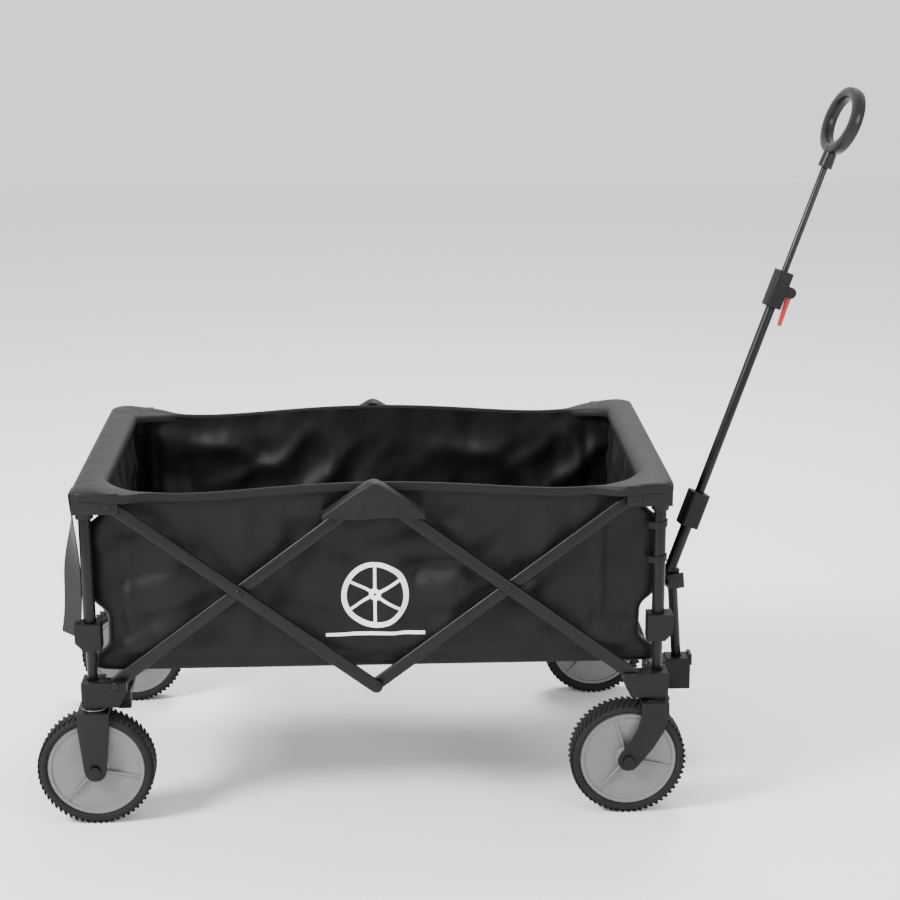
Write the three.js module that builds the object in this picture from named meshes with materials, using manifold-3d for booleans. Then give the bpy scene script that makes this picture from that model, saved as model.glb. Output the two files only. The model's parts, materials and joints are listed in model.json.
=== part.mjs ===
// Folding camp wagon: fabric bin in a scissor frame on four wheels, with a telescoping pull handle.
// Millimetres, +Z up, +X towards the pull handle, +Y to the wagon's left. The ground is z = 0.
// Left and right, rear and front repeat as mirror images about the wagon's middle.
import * as THREE from "three";
import { mergeVertices } from "three/addons/utils/BufferGeometryUtils.js";
import Module from "manifold-3d";

const wasm = await Module();
wasm.setup();

// ---- Driving dimensions ----
const clearance = 0.3; // between neighbouring solids
const postSpanX = 856; // rear posts to front posts, axis to axis
const postSpanY = 492; // left posts to right posts, axis to axis
const tubeSides = 14; // facets of a round tube
const pinSides = 10; // facets of a rivet, a bolt or its hole
const arcSegments = 3; // segments in a quarter of a plate's round end

// Scissor frame. Each side has four bars: two crossed pairs joined at the middle.
const pivotInset = 36; // post axis to the corner pivots
const lowerPivotRise = 34; // foot of the lower brackets to the lower corner pivots
const cornerPivotRise = 284; // lower corner pivot to upper corner pivot
const centrePivotRise = 305; // lower middle pivot to upper middle pivot
const barHeight = 20;
const barThickness = 8;
const barWall = 1.2;
const layerGap = 1.5; // inner bars to outer bars, face to face
const innerLayerOffset = 2; // post axis outwards to the inner bars
const rivetRadius = 3;
const rivetHeadRadius = 7;
const rivetHeadHeight = 2.4;

// Telescoping corner posts
const outerPostRadius = 9.5;
const outerPostWall = 1.2;
const innerPostWall = 1.2;
const outerPostRise = 95; // foot of the lower brackets to the outer posts
const outerPostLength = 218;
const innerPostLength = 294;

// Plastic corner brackets
const bracketOuter = 16; // post axis to the bracket's outer end face
const bracketInner = 18; // post axis to where the pivot lug begins
const bracketHalfDepth = 22; // post axis to the bracket's inner side face
const bracketLugOverhang = 16; // pivot to the tip of the lug
const bracketSideWall = 4; // outside the outer bars
const bracketFloor = 6;
const lowerBracketRise = 7; // top of the forks to the foot of the lower brackets
const lowerBracketHeight = 39;
const upperBracketHeight = 32;
const upperBracketSleeve = 10;
const sleeveWall = 3.5;
const collarHeight = 42;
const collarWall = 5.5;
const collarThumbTab = 22; // post axis to the tip of the thumb tab
const collarLip = 6; // below the outer post's foot
const collarTabRise = 13; // foot of the collar to the full width of its tab

// Cross bars
const crossBarRadius = 9.5;
const lowerBarRadius = 8;
const lowerBarWall = 1.5;
const barSocketDepth = 10;
const frontBarRise = 17; // foot of the lower brackets to the bar's axis
const frontBarDrop = 67;
const frontBarReach = 27; // the dropped middle stands this far in front of the posts
const frontBarMiddle = 80; // half length of the dropped middle
const frontBarShoulder = 165; // half length between the upper bends
const frontBarBend = 18; // from a corner of its route to where the bend begins
const frontBarSteps = 44; // along its route
const rearBarRadius = 7;
const rearBarDrop = 7; // foot of the lower brackets down to the bar's axis
const rearBarInset = 43; // rear post axis forward to the rear cross bar
const rearLugDepth = 12;
const rearLugWall = 3;

// Wheels
const wheelRadius = 89;
const tyreWidth = 40;
const tyreInnerRadius = 74;
const wheelSides = 24;
const hubHalfLength = 20.5;
const hubBarrelRadius = 15;
const hubWebHalf = 3; // half the thickness of the disc
const hubRimWidth = 6;
const hubRimInset = 3; // tyre's face to the hub's rim
const hubRibHalf = 1.5; // half the thickness of a rib
const axleRadius = 5;
const axleHeadRadius = 8.5;
const axleHeadHeight = 4;
const ribCount = 3;
const ribAngle = -12; // degrees, first rib, seen from the right of the wagon
const casterTrail = 43;

// Forks
const forkGap = 2.5; // tyre to fork plate
const forkPlate = 3.5;
const forkCrownGap = 5; // top of the tyre to the top of the fork
const forkTopPlate = 4;
const rearForkHalfTop = 24.5;
const casterForkBack = 25;
const casterForkFront = 18;
const forkEndRadius = 17;
const forkBossRadius = 15;
const spigotGap = 1.3; // fork's spigot to the inner post's bore
const stemLength = 29;

// Pull handle
const handleYaw = 9.5; // degrees, to the left
const stemLean = 4.1; // degrees, top leans back
const handleLean = 20.4; // degrees, top leans forward
const stemFootX = 72; // in front of the front posts
const stemFootDrop = 37; // middle of the dropped bar down to the stem's foot
const steerTubeRadius = 8;
const steerTubeWall = 1.5;
const steerBushFloor = 7;
const knuckleHeight = 192;
const knuckleWidth = 28;
const knuckleFork = 9.8; // half gap between the knuckle's cheeks
const knucklePinRadius = 3;
const poleOffset = -8; // knuckle pin to the pole's axis
const lowerPoleRadius = 9.5;
const lowerPoleWall = 1.3;
const lowerPoleTop = 140;
const midPoleRadius = 7.75;
const midPoleWall = 1.2;
const midPoleFoot = 60;
const midPoleTop = 505;
const poleCollarFoot = 88;
const poleCollarTop = 146;
const poleCollarHalf = 16.5;
const latchFoot = 467;
const latchTop = 527;
const latchHalfX = 13.5;
const latchHalfY = 14;
const latchPivotX = 18.8; // pole axis to the lever's pivot
const latchPivotZ = 498;
const latchEarRadius = 9;
const leverHubRadius = 7.5;
const leverWidth = 10;
const leverLength = 56;
const leverPinRadius = 2.2;
const upperPoleRadius = 5.3;
const upperPoleWall = 1;
const upperPoleFoot = 330;
const upperPoleTop = 714;
const gripNeckFoot = 701;
const gripRingCentre = 778;
const gripRingHalfY = 48;
const gripRingHalfZ = 46;
const gripBand = 9.5; // half the band's width in the ring's plane
const gripDepth = 10.5; // half the band's depth

// Fabric bin, floor boards and strap
const binInsetX = 20; // post axis to the bin's ends
const binInsetY = 9; // post axis to the bin's sides
const binWall = 3.5;
const binFloorRise = 53; // foot of the lower brackets to the bin's floor
const rimThickness = 3;
const rimOverhangX = 18; // past the post axis at each end
const rimCornerLength = 70; // of the rim that covers a corner bracket, along the side
const rimOverhangY = 4; // past the post axis at each side
const boardThickness = 6;
const boardGap = 4;
const boardCount = 4;
const foldGroove = 3; // width of the groove between two boards
const foldGrooveDepth = 2;
const strapWidth = 46;
const strapThickness = 2.5;
const strapLength = 228;
const strapFlare = 13;

// ---- Values worked out from the driving dimensions ----
const forkTopZ = 2 * wheelRadius + forkCrownGap;
const lowerBracketFootZ = forkTopZ + lowerBracketRise;
const lowerPivotZ = lowerBracketFootZ + lowerPivotRise;
const outerPostFootZ = lowerBracketFootZ + outerPostRise;
const frontBarZ = lowerBracketFootZ + frontBarRise;
const rearBarZ = lowerBracketFootZ - rearBarDrop;
const binFloorZ = lowerBracketFootZ + binFloorRise;
const layerPitch = barThickness + layerGap;
const postX = postSpanX / 2;
const postY = postSpanY / 2;
const innerPostRadius = outerPostRadius - outerPostWall - clearance;
const stemRadius = innerPostRadius - innerPostWall - spigotGap;
const binHalfX = postX - binInsetX;
const binHalfY = postY - binInsetY;
const rimCornerHalfY = postY + rimOverhangY;
const pivotX = postX - pivotInset;
const upperPivotZ = lowerPivotZ + cornerPivotRise;
const barSpan = (cornerPivotRise + centrePivotRise) / 2;
const openAngle = Math.atan2(barSpan, pivotX);
const barLength = Math.hypot(barSpan, pivotX);
const cornerArm = (barLength * cornerPivotRise) / (cornerPivotRise + centrePivotRise);
const innerLayerY = postY + innerLayerOffset;
const outerLayerY = innerLayerY + layerPitch;
const outerFaceY = outerLayerY + barThickness / 2;
const lowerCentreZ = upperPivotZ - barSpan;
const upperCentreZ = lowerPivotZ + barSpan;
const innerPostFootZ = lowerBracketFootZ + bracketFloor + clearance;
const outerPostTopZ = outerPostFootZ + outerPostLength;
const crossBarZ = outerPostTopZ + crossBarRadius + 5 * clearance;
const upperBracketTopZ = crossBarZ + crossBarRadius + 2.5;
const upperBracketFootZ = upperBracketTopZ - upperBracketHeight;
const rimZ = upperBracketTopZ + 1.5 * clearance;
const forkInner = tyreWidth / 2 + forkGap;
const forkOuter = forkInner + forkPlate;
const barEndY = postY - bracketHalfDepth + barSocketDepth;
const dropZ = frontBarZ - frontBarDrop;
const dropX = postX + frontBarReach;
const stemFootZ = dropZ - stemFootDrop;
const strapTopZ = upperBracketTopZ - 2;
const strapFootZ = strapTopZ - strapLength;

// ---- Materials ----
function surface(colour, roughness, metalness) {
  return new THREE.MeshStandardMaterial({ color: colour, roughness, metalness });
}
const steel = surface(0x17171a, 0.42, 0.35);
const plastic = surface(0x1b1b1d, 0.55, 0);
const gripPlastic = surface(0x232326, 0.3, 0);
const hubPlastic = surface(0xa9a9ab, 0.5, 0);
const rubber = surface(0x1a1a1a, 0.85, 0);
const fabric = surface(0x1d1b1c, 0.8, 0);
const webbing = surface(0x161616, 0.9, 0);
const redPlastic = surface(0xc2202c, 0.4, 0);
const zinc = surface(0x8f9194, 0.35, 0.9);

// ---- Shape helpers ----
// A geometry as a manifold-3d solid.
function solid(geometry) {
  const bare = geometry.index ? geometry.toNonIndexed() : geometry.clone();
  bare.deleteAttribute("normal");
  bare.deleteAttribute("uv");
  const merged = mergeVertices(bare, 1e-4);
  return new wasm.Manifold(
    new wasm.Mesh({
      numProp: 3,
      vertProperties: merged.attributes.position.array,
      triVerts: new Uint32Array(merged.index.array),
    }),
  );
}

// A manifold-3d solid as a geometry.
function geometryOf(body) {
  const mesh = body.getMesh();
  const geometry = new THREE.BufferGeometry();
  geometry.setAttribute("position", new THREE.BufferAttribute(mesh.vertProperties, 3));
  geometry.setIndex(new THREE.BufferAttribute(mesh.triVerts, 1));
  return geometry;
}

function join(first, ...others) {
  return geometryOf(others.reduce((body, other) => body.add(solid(other)), solid(first)));
}

function cut(first, ...others) {
  return geometryOf(others.reduce((body, other) => body.subtract(solid(other)), solid(first)));
}

function common(first, second) {
  return geometryOf(solid(first).intersect(solid(second)));
}

// A box from its low corner to its high corner.
function block([x0, y0, z0], [x1, y1, z1]) {
  const box = new THREE.BoxGeometry(x1 - x0, y1 - y0, z1 - z0);
  return box.translate((x0 + x1) / 2, (y0 + y1) / 2, (z0 + z1) / 2);
}

// A cylinder along Z from z0 to z1.
function rodZ(radius, z0, z1, x = 0, y = 0) {
  const rod = new THREE.CylinderGeometry(radius, radius, z1 - z0, tubeSides);
  return rod.rotateX(Math.PI / 2).translate(x, y, (z0 + z1) / 2);
}

// A cylinder along Y from y0 to y1; one thinner than a cross bar is a pin.
function rodY(radius, y0, y1, x = 0, z = 0) {
  const facets = radius < rearBarRadius ? pinSides : tubeSides;
  const rod = new THREE.CylinderGeometry(radius, radius, y1 - y0, facets);
  return rod.translate(x, (y0 + y1) / 2, z);
}

function ringShape(outer, inner) {
  const ring = new THREE.Shape().absarc(0, 0, outer, 0, 2 * Math.PI);
  ring.holes.push(new THREE.Path().absarc(0, 0, inner, 0, 2 * Math.PI));
  return ring;
}

// A round tube along Z from z0 to z1.
function tubeZ(radius, wall, z0, z1, x = 0, y = 0) {
  const options = { depth: z1 - z0, bevelEnabled: false, curveSegments: tubeSides / 2 };
  return new THREE.ExtrudeGeometry(ringShape(radius, radius - wall), options).translate(x, y, z0);
}

// A round tube along Y from y0 to y1.
function tubeY(radius, wall, y0, y1, x = 0, z = 0) {
  return tubeZ(radius, wall, 0, y1 - y0).rotateX(-Math.PI / 2).translate(x, y0, z);
}

// An outline drawn in X and Z, thickened along Y from y0 to y1.
function plateXZ(shape, y0, y1) {
  const options = { depth: y1 - y0, bevelEnabled: false, curveSegments: arcSegments };
  return new THREE.ExtrudeGeometry(shape, options).rotateX(Math.PI / 2).translate(0, y1, 0);
}

// An outline drawn in X and Y, thickened along Z from z0 to z1.
function plateXY(shape, z0, z1) {
  const options = { depth: z1 - z0, bevelEnabled: false, curveSegments: 4 };
  return new THREE.ExtrudeGeometry(shape, options).translate(0, 0, z0);
}

function outline(points) {
  return new THREE.Shape(points.map(([x, y]) => new THREE.Vector2(x, y)));
}

function roundedRectangle(halfX, halfY, radius) {
  const shape = new THREE.Shape();
  shape.absarc(halfX - radius, halfY - radius, radius, 0, Math.PI / 2);
  shape.absarc(radius - halfX, halfY - radius, radius, Math.PI / 2, Math.PI);
  shape.absarc(radius - halfX, radius - halfY, radius, Math.PI, 1.5 * Math.PI);
  shape.absarc(halfX - radius, radius - halfY, radius, 1.5 * Math.PI, 2 * Math.PI);
  return shape;
}

// A closed profile of radius and height, turned about the Y axis.
function turned(profile, sides) {
  const points = profile.map(([radius, height]) => new THREE.Vector2(radius, height));
  return new THREE.LatheGeometry(points, sides);
}

function add(parent, name, geometry, material, x = 0, y = 0, z = 0) {
  const mesh = new THREE.Mesh(geometry, material);
  mesh.name = name;
  mesh.position.set(x, y, z);
  parent.add(mesh);
  return mesh;
}

const wagon = new THREE.Group();
const corners = {};
for (const [end, xSign] of [["rear", -1], ["front", 1]]) {
  for (const [side, ySign] of [["left", 1], ["right", -1]]) {
    const corner = new THREE.Group();
    corner.scale.set(xSign, ySign, 1);
    wagon.add(corner);
    corners[end + "_" + side] = corner;
  }
}
const sides = { left: new THREE.Group(), right: new THREE.Group() };
sides.right.scale.y = -1;
wagon.add(sides.left, sides.right);

// ---- Scissor bars: flat-oval steel tube with rounded, drilled ends ----
// A bar lies along +X from its first pivot, in the layer centred on y = 0.
// Inner bars carry the rivets that the outer bars turn on; the other pivots are holes.
function scissorBar(holes, rivets) {
  const straight = (barHeight - barThickness) / 2;
  const oval = (inset) => {
    const radius = barThickness / 2 - inset;
    const section = new THREE.Shape();
    section.absarc(straight, 0, radius, -Math.PI / 2, Math.PI / 2);
    section.absarc(-straight, 0, radius, Math.PI / 2, 1.5 * Math.PI);
    return section;
  };
  const section = oval(0);
  section.holes.push(oval(barWall));
  const full = barLength + barHeight;
  const options = { depth: full, bevelEnabled: false, curveSegments: 2 };
  const tube = new THREE.ExtrudeGeometry(section, options);
  tube.rotateY(Math.PI / 2).translate(-barHeight / 2, 0, 0);
  const ends = new THREE.Shape();
  ends.absarc(barLength, 0, barHeight / 2, -Math.PI / 2, Math.PI / 2);
  ends.absarc(0, 0, barHeight / 2, Math.PI / 2, 1.5 * Math.PI);
  const rounded = common(tube, plateXZ(ends, -barThickness, barThickness));
  const drills = holes.map((x) => rodY(rivetRadius + clearance, -barThickness, barThickness, x));
  const headY = layerPitch + barThickness / 2 + 2 * clearance;
  const pins = rivets.flatMap((x) => [
    rodY(rivetRadius, 0, headY + clearance, x),
    rodY(rivetHeadRadius, headY, headY + rivetHeadHeight, x),
  ]);
  return join(cut(rounded, ...drills), ...pins);
}

for (const [side, group] of Object.entries(sides)) {
  const innerRear = scissorBar([0], [cornerArm, barLength]);
  const rearRiser = add(
    group, side + "_rear_inner_bar", innerRear, steel, -pivotX, innerLayerY, lowerPivotZ);
  rearRiser.rotation.y = -openAngle;
  const outerRear = scissorBar([0, cornerArm, barLength], []);
  const rearFall = add(
    group, side + "_rear_outer_bar", outerRear, steel, -pivotX, outerLayerY, upperPivotZ);
  rearFall.rotation.y = openAngle;
  const centreArm = barLength - cornerArm;
  const innerFront = scissorBar([barLength], [0, centreArm]);
  const frontRiser = add(
    group, side + "_front_inner_bar", innerFront, steel, 0, innerLayerY, lowerCentreZ);
  frontRiser.rotation.y = -openAngle;
  const outerFront = scissorBar([0, centreArm, barLength], []);
  const frontFall = add(
    group, side + "_front_outer_bar", outerFront, steel, 0, outerLayerY, upperCentreZ);
  frontFall.rotation.y = openAngle;
}

// ---- Corner posts, brackets and collars, each drawn for the front left corner ----
const bracketOuterX = postX + bracketOuter;
const bracketInnerX = postX - bracketInner;
const lugTipX = pivotX - bracketLugOverhang;
const bracketSideY = postY - bracketHalfDepth;
const bracketFaceY = outerFaceY + bracketSideWall;
const lugSideY = Math.min(innerLayerY - barThickness / 2 - 5, bracketFaceY - 12);

// The slot for a bar's end and the pin across it.
function barSlot(layerY, z0, z1) {
  const half = barThickness / 2 + 2 * clearance;
  const reach = barHeight / 2 + 1;
  return block([lugTipX - 1, layerY - half, z0], [pivotX + reach, layerY + half, z1]);
}

function pivotPin(z) {
  return rodY(rivetRadius, lugSideY + 1, bracketFaceY - 1, pivotX, z);
}

function lowerBracket(layerY, isRear) {
  const top = lowerBracketFootZ + lowerBracketHeight;
  const chamfer = 12;
  const profile = outline([
    [bracketOuterX, lowerBracketFootZ],
    [bracketOuterX, top],
    [lugTipX, top],
    [lugTipX, lowerPivotZ - barHeight / 2],
    [lugTipX + chamfer, lowerBracketFootZ],
  ]);
  const lugRelief = block(
    [lugTipX - 1, bracketSideY - 1, lowerPivotZ - barHeight],
    [bracketInnerX, lugSideY, top + 1],
  );
  let body = cut(
    plateXZ(profile, bracketSideY, bracketFaceY),
    lugRelief,
    barSlot(layerY, lowerPivotZ - barHeight / 2 - 2, top + 1),
    rodZ(innerPostRadius + clearance, innerPostFootZ - clearance, top + 1, postX, postY),
    rodZ(stemRadius + clearance, lowerBracketFootZ - 1, innerPostFootZ, postX, postY),
  );
  if (isRear) {
    const lugHalf = rearBarRadius + rearLugWall;
    const lugX = postX - rearBarInset;
    body = join(body, block(
      [lugX - lugHalf, bracketSideY - rearLugDepth, rearBarZ - lugHalf],
      [lugX + lugHalf, bracketSideY + 2, lowerPivotZ - barHeight],
    ));
    body = cut(body, rodY(
      rearBarRadius + clearance, bracketSideY - rearLugDepth - 1, bracketSideY - 2, lugX, rearBarZ));
  } else {
    body = cut(body, rodY(
      lowerBarRadius + clearance, bracketSideY - 1, barEndY + clearance, postX, frontBarZ));
  }
  return join(body, pivotPin(lowerPivotZ));
}

function upperBracket(layerY) {
  const profile = outline([
    [bracketOuterX, upperBracketFootZ],
    [bracketOuterX, upperBracketTopZ],
    [lugTipX, upperBracketTopZ],
    [lugTipX, upperBracketFootZ],
  ]);
  const sleeve = rodZ(
    outerPostRadius + clearance + sleeveWall,
    upperBracketFootZ - upperBracketSleeve,
    upperBracketFootZ + 1,
    postX,
    postY,
  );
  const lugRelief = block(
    [lugTipX - 1, bracketSideY - 1, upperBracketFootZ - 1],
    [bracketInnerX, lugSideY, upperBracketTopZ + 1],
  );
  const post = rodZ(
    outerPostRadius + clearance,
    upperBracketFootZ - upperBracketSleeve - 1,
    outerPostTopZ + clearance,
    postX,
    postY,
  );
  const bar = rodY(
    crossBarRadius + clearance, bracketSideY - 1, barEndY + clearance, postX, crossBarZ);
  const slotTop = upperPivotZ + barHeight / 2 + 1;
  const body = cut(
    join(plateXZ(profile, bracketSideY, bracketFaceY), sleeve),
    lugRelief,
    post,
    bar,
    barSlot(layerY, upperBracketFootZ - 1, slotTop),
  );
  return join(body, pivotPin(upperPivotZ));
}

// The collar closes the outer post's foot and guides the inner post; its tab is pressed by hand.
function postCollar() {
  const foot = outerPostFootZ - collarLip;
  const top = foot + collarHeight;
  const inner = postX - outerPostRadius - collarWall - 2;
  const outer = postX + collarThumbTab;
  const half = outerPostRadius + collarWall;
  const profile = outline([
    [inner, foot],
    [postX + outerPostRadius, foot],
    [outer, foot + collarTabRise],
    [outer, top],
    [inner, top],
  ]);
  return cut(
    plateXZ(profile, postY - half, postY + half),
    rodZ(outerPostRadius + clearance, outerPostFootZ - clearance, top + 1, postX, postY),
    rodZ(innerPostRadius + 2 * clearance, foot - 1, outerPostFootZ, postX, postY),
  );
}

for (const [name, corner] of Object.entries(corners)) {
  const isRear = name.startsWith("rear");
  const lowerLayer = isRear ? innerLayerY : outerLayerY;
  const upperLayer = isRear ? outerLayerY : innerLayerY;
  add(corner, name + "_lower_bracket", lowerBracket(lowerLayer, isRear), plastic);
  add(corner, name + "_upper_bracket", upperBracket(upperLayer), plastic);
  add(corner, name + "_post_collar", postCollar(), plastic);
  const outerPost = tubeZ(outerPostRadius, outerPostWall, outerPostFootZ, outerPostTopZ);
  add(corner, name + "_outer_post", outerPost, steel, postX, postY);
  const innerTop = innerPostFootZ + innerPostLength;
  const innerPost = tubeZ(innerPostRadius, innerPostWall, innerPostFootZ, innerTop);
  add(corner, name + "_inner_post", innerPost, steel, postX, postY);
}

// ---- Cross bars ----
for (const [end, xSign] of [["rear", -1], ["front", 1]]) {
  const bar = tubeY(crossBarRadius, outerPostWall, -barEndY, barEndY);
  add(wagon, end + "_upper_cross_bar", bar, steel, xSign * postX, 0, crossBarZ);
}
const rearBarHalf = bracketSideY - 2 - clearance;
const rearBar = tubeY(rearBarRadius, lowerBarWall, -rearBarHalf, rearBarHalf);
add(wagon, "rear_lower_cross_bar", rearBar, steel, rearBarInset - postX, 0, rearBarZ);

// The front lower bar dips in the middle and comes forward to carry the handle.
function droppedBar() {
  const route = new THREE.CurvePath();
  const half = [
    [postX, frontBarZ, barEndY],
    [postX, frontBarZ, frontBarShoulder],
    [dropX, dropZ, frontBarMiddle],
  ].map(([x, z, y]) => new THREE.Vector3(x, y, z));
  const bends = half.concat(half.map((p) => new THREE.Vector3(p.x, -p.y, p.z)).reverse());
  let from = bends[0];
  for (let i = 1; i < bends.length - 1; i++) {
    const back = bends[i - 1].clone().sub(bends[i]).setLength(frontBarBend).add(bends[i]);
    const ahead = bends[i + 1].clone().sub(bends[i]).setLength(frontBarBend).add(bends[i]);
    route.add(new THREE.LineCurve3(from, back));
    route.add(new THREE.QuadraticBezierCurve3(back, bends[i], ahead));
    from = ahead;
  }
  route.add(new THREE.LineCurve3(from, bends.at(-1)));
  const section = new THREE.Shape().absarc(0, 0, lowerBarRadius, 0, 2 * Math.PI);
  const options = { steps: frontBarSteps, curveSegments: 5, extrudePath: route };
  return new THREE.ExtrudeGeometry(section, options);
}
add(wagon, "front_lower_cross_bar", droppedBar(), steel);

// ---- Wheels: hub, tyre and axle about the wheel's own centre, axle along Y ----
function tyre() {
  const half = tyreWidth / 2;
  const inner = tyreInnerRadius + clearance;
  return turned([
    [inner, -half + 5],
    [inner + 3, -half + 1],
    [wheelRadius - 8, -half],
    [wheelRadius, -half + 9],
    [wheelRadius, half - 9],
    [wheelRadius - 8, half],
    [inner + 3, half - 1],
    [inner, half - 5],
    [inner, -half + 5],
  ], wheelSides);
}

function hub() {
  const bore = axleRadius + clearance;
  const rimDepth = tyreWidth / 2 - hubRimInset;
  const rimInner = tyreInnerRadius - hubRimWidth;
  const body = turned([
    [bore, -hubHalfLength],
    [hubBarrelRadius, -hubHalfLength],
    [hubBarrelRadius + 3, -hubWebHalf],
    [rimInner - 3, -hubWebHalf],
    [rimInner, -rimDepth],
    [tyreInnerRadius, -rimDepth],
    [tyreInnerRadius, rimDepth],
    [rimInner, rimDepth],
    [rimInner - 3, hubWebHalf],
    [hubBarrelRadius + 3, hubWebHalf],
    [hubBarrelRadius, hubHalfLength],
    [bore, hubHalfLength],
    [bore, -hubHalfLength],
  ], wheelSides);
  const ribDepth = rimDepth - 3;
  const ribs = Array.from({ length: ribCount }, (_, i) => {
    const angle = ribAngle + (i * 360) / ribCount;
    const rib = block([hubBarrelRadius - 1, -ribDepth, -hubRibHalf], [rimInner + 2, ribDepth, hubRibHalf]);
    return rib.rotateY(-THREE.MathUtils.degToRad(angle));
  });
  return join(body, ...ribs);
}

// A bolt through both fork plates, with its head and nut outside them.
function axle() {
  const plate = forkOuter + clearance;
  return turned([
    [0, -plate - axleHeadHeight],
    [axleHeadRadius, -plate - axleHeadHeight],
    [axleHeadRadius, -plate],
    [axleRadius, -plate],
    [axleRadius, plate],
    [axleHeadRadius, plate],
    [axleHeadRadius, plate + axleHeadHeight],
    [0, plate + axleHeadHeight],
  ], pinSides);
}

// A fork of two side plates under a top plate, with the spigot that fits into the corner post.
// Its own origin is on the ground under the spigot; the axle is axleX from it.
function fork(sideOutline, back, front, axleX) {
  const plates = [-1, 1].map((sign) => {
    const [low, high] = [sign * forkInner, sign * forkOuter].sort((a, b) => a - b);
    return plateXZ(sideOutline, low, high);
  });
  const top = block(
    [-back, -forkOuter, forkTopZ - forkTopPlate],
    [front, forkOuter, forkTopZ],
  );
  const bossTop = lowerBracketFootZ - clearance;
  const boss = rodZ(forkBossRadius, forkTopZ - 1, bossTop);
  const spigot = rodZ(stemRadius, forkTopZ, forkTopZ + stemLength);
  const hole = rodY(axleRadius + clearance, -forkOuter - 1, forkOuter + 1, axleX, wheelRadius);
  return cut(join(top, ...plates, boss, spigot), hole);
}

function rearForkOutline() {
  const shape = new THREE.Shape();
  shape.moveTo(rearForkHalfTop, forkTopZ);
  shape.lineTo(-rearForkHalfTop, forkTopZ);
  shape.lineTo(-rearForkHalfTop, forkTopZ - 22);
  shape.absarc(0, wheelRadius, forkEndRadius, Math.PI, 2 * Math.PI);
  shape.lineTo(rearForkHalfTop, forkTopZ - 22);
  return shape;
}

function casterForkOutline() {
  const shape = new THREE.Shape();
  const armAngle = THREE.MathUtils.degToRad(142);
  shape.moveTo(casterForkFront, forkTopZ);
  shape.lineTo(-casterForkBack, forkTopZ);
  shape.lineTo(-casterForkBack, forkTopZ - 25);
  shape.quadraticCurveTo(
    -casterForkBack - 3,
    forkTopZ - 48,
    -casterTrail + forkEndRadius * Math.cos(armAngle),
    wheelRadius + forkEndRadius * Math.sin(armAngle),
  );
  shape.absarc(-casterTrail, wheelRadius, forkEndRadius, armAngle, armAngle + Math.PI);
  shape.quadraticCurveTo(
    casterForkFront - 5,
    wheelRadius + 38,
    casterForkFront,
    forkTopZ - 24,
  );
  return shape;
}

for (const [name, corner] of Object.entries(corners)) {
  const isRear = name.startsWith("rear");
  const wheelX = isRear ? postX : postX - casterTrail;
  const forkBody = isRear
    ? fork(rearForkOutline(), rearForkHalfTop, rearForkHalfTop, 0)
    : fork(casterForkOutline(), casterForkBack, casterForkFront, -casterTrail);
  const forkName = isRear ? "_fork" : "_caster_fork";
  add(corner, name + forkName, forkBody, isRear ? steel : plastic, postX, postY);
  add(corner, name + "_axle", axle(), zinc, wheelX, postY, wheelRadius);
  add(corner, name + "_hub", hub(), hubPlastic, wheelX, postY, wheelRadius);
  add(corner, name + "_tyre", tyre(), rubber, wheelX, postY, wheelRadius);
}

// ---- Pull handle ----
const stemFootWorldX = postX + stemFootX;

// The foot bracket clamps round the dropped bar and holds the steering tube's bush.
function footBracket() {
  const lean = THREE.MathUtils.degToRad(stemLean);
  const clampHalf = lowerBarRadius + 5;
  const clampBody = block(
    [dropX - clampHalf, -20, dropZ - clampHalf],
    [stemFootWorldX - 20, 20, dropZ + clampHalf],
  );
  const bush = block([stemFootWorldX - 22, -17, stemFootZ], [stemFootWorldX + 18, 17, stemFootZ + 53]);
  const lip = block(
    [stemFootWorldX + 15, -14, stemFootZ + 40],
    [stemFootWorldX + 21, 14, stemFootZ + 58],
  );
  const barHole = rodY(lowerBarRadius + clearance, -21, 21, dropX, dropZ);
  const bore = rodZ(steerTubeRadius + clearance, steerBushFloor, 70);
  bore.rotateY(-lean).translate(stemFootWorldX, 0, stemFootZ);
  return cut(join(clampBody, bush, lip), barHole, bore);
}
add(wagon, "handle_foot_bracket", footBracket(), plastic);

const steering = new THREE.Group();
steering.position.set(stemFootWorldX, 0, stemFootZ);
steering.rotation.y = -THREE.MathUtils.degToRad(stemLean);
wagon.add(steering);
const turn = new THREE.Group();
turn.rotation.z = THREE.MathUtils.degToRad(handleYaw);
steering.add(turn);

// The steering tube ends in a forked knuckle with its pin.
function steeringStem() {
  const half = knuckleWidth / 2;
  const tube = tubeZ(
    steerTubeRadius, steerTubeWall, steerBushFloor + clearance, knuckleHeight - 15);
  const head = cut(
    block([-10, -half, knuckleHeight - 18], [16, half, knuckleHeight + 7]),
    block([-11, -knuckleFork, knuckleHeight - 12], [17, knuckleFork, knuckleHeight + 8]),
  );
  return join(head, tube, rodY(knucklePinRadius, -half, half, 0, knuckleHeight));
}
add(turn, "handle_stem", steeringStem(), steel);

const pole = new THREE.Group();
pole.position.set(0, 0, knuckleHeight);
pole.rotation.y = THREE.MathUtils.degToRad(stemLean + handleLean);
turn.add(pole);

// Each piece of the pole has its origin on the knuckle's pin, and the pole stands along +Z.
function lowerPole() {
  const tongueHalf = lowerPoleRadius - 2;
  const tongue = join(
    rodY(9, -tongueHalf, tongueHalf),
    block([poleOffset - 6, -tongueHalf, 0], [6, tongueHalf, 16]),
  );
  const tube = tubeZ(lowerPoleRadius, lowerPoleWall, 12, lowerPoleTop, poleOffset);
  const plug = rodZ(lowerPoleRadius - 1, 12, 20, poleOffset);
  const hole = rodY(knucklePinRadius + clearance, -20, 20);
  return cut(join(tongue, plug, tube), hole);
}
add(pole, "handle_lower_pole", lowerPole(), steel);

const middle = tubeZ(midPoleRadius, midPoleWall, midPoleFoot, midPoleTop, poleOffset);
add(pole, "handle_middle_pole", middle, steel);

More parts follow.
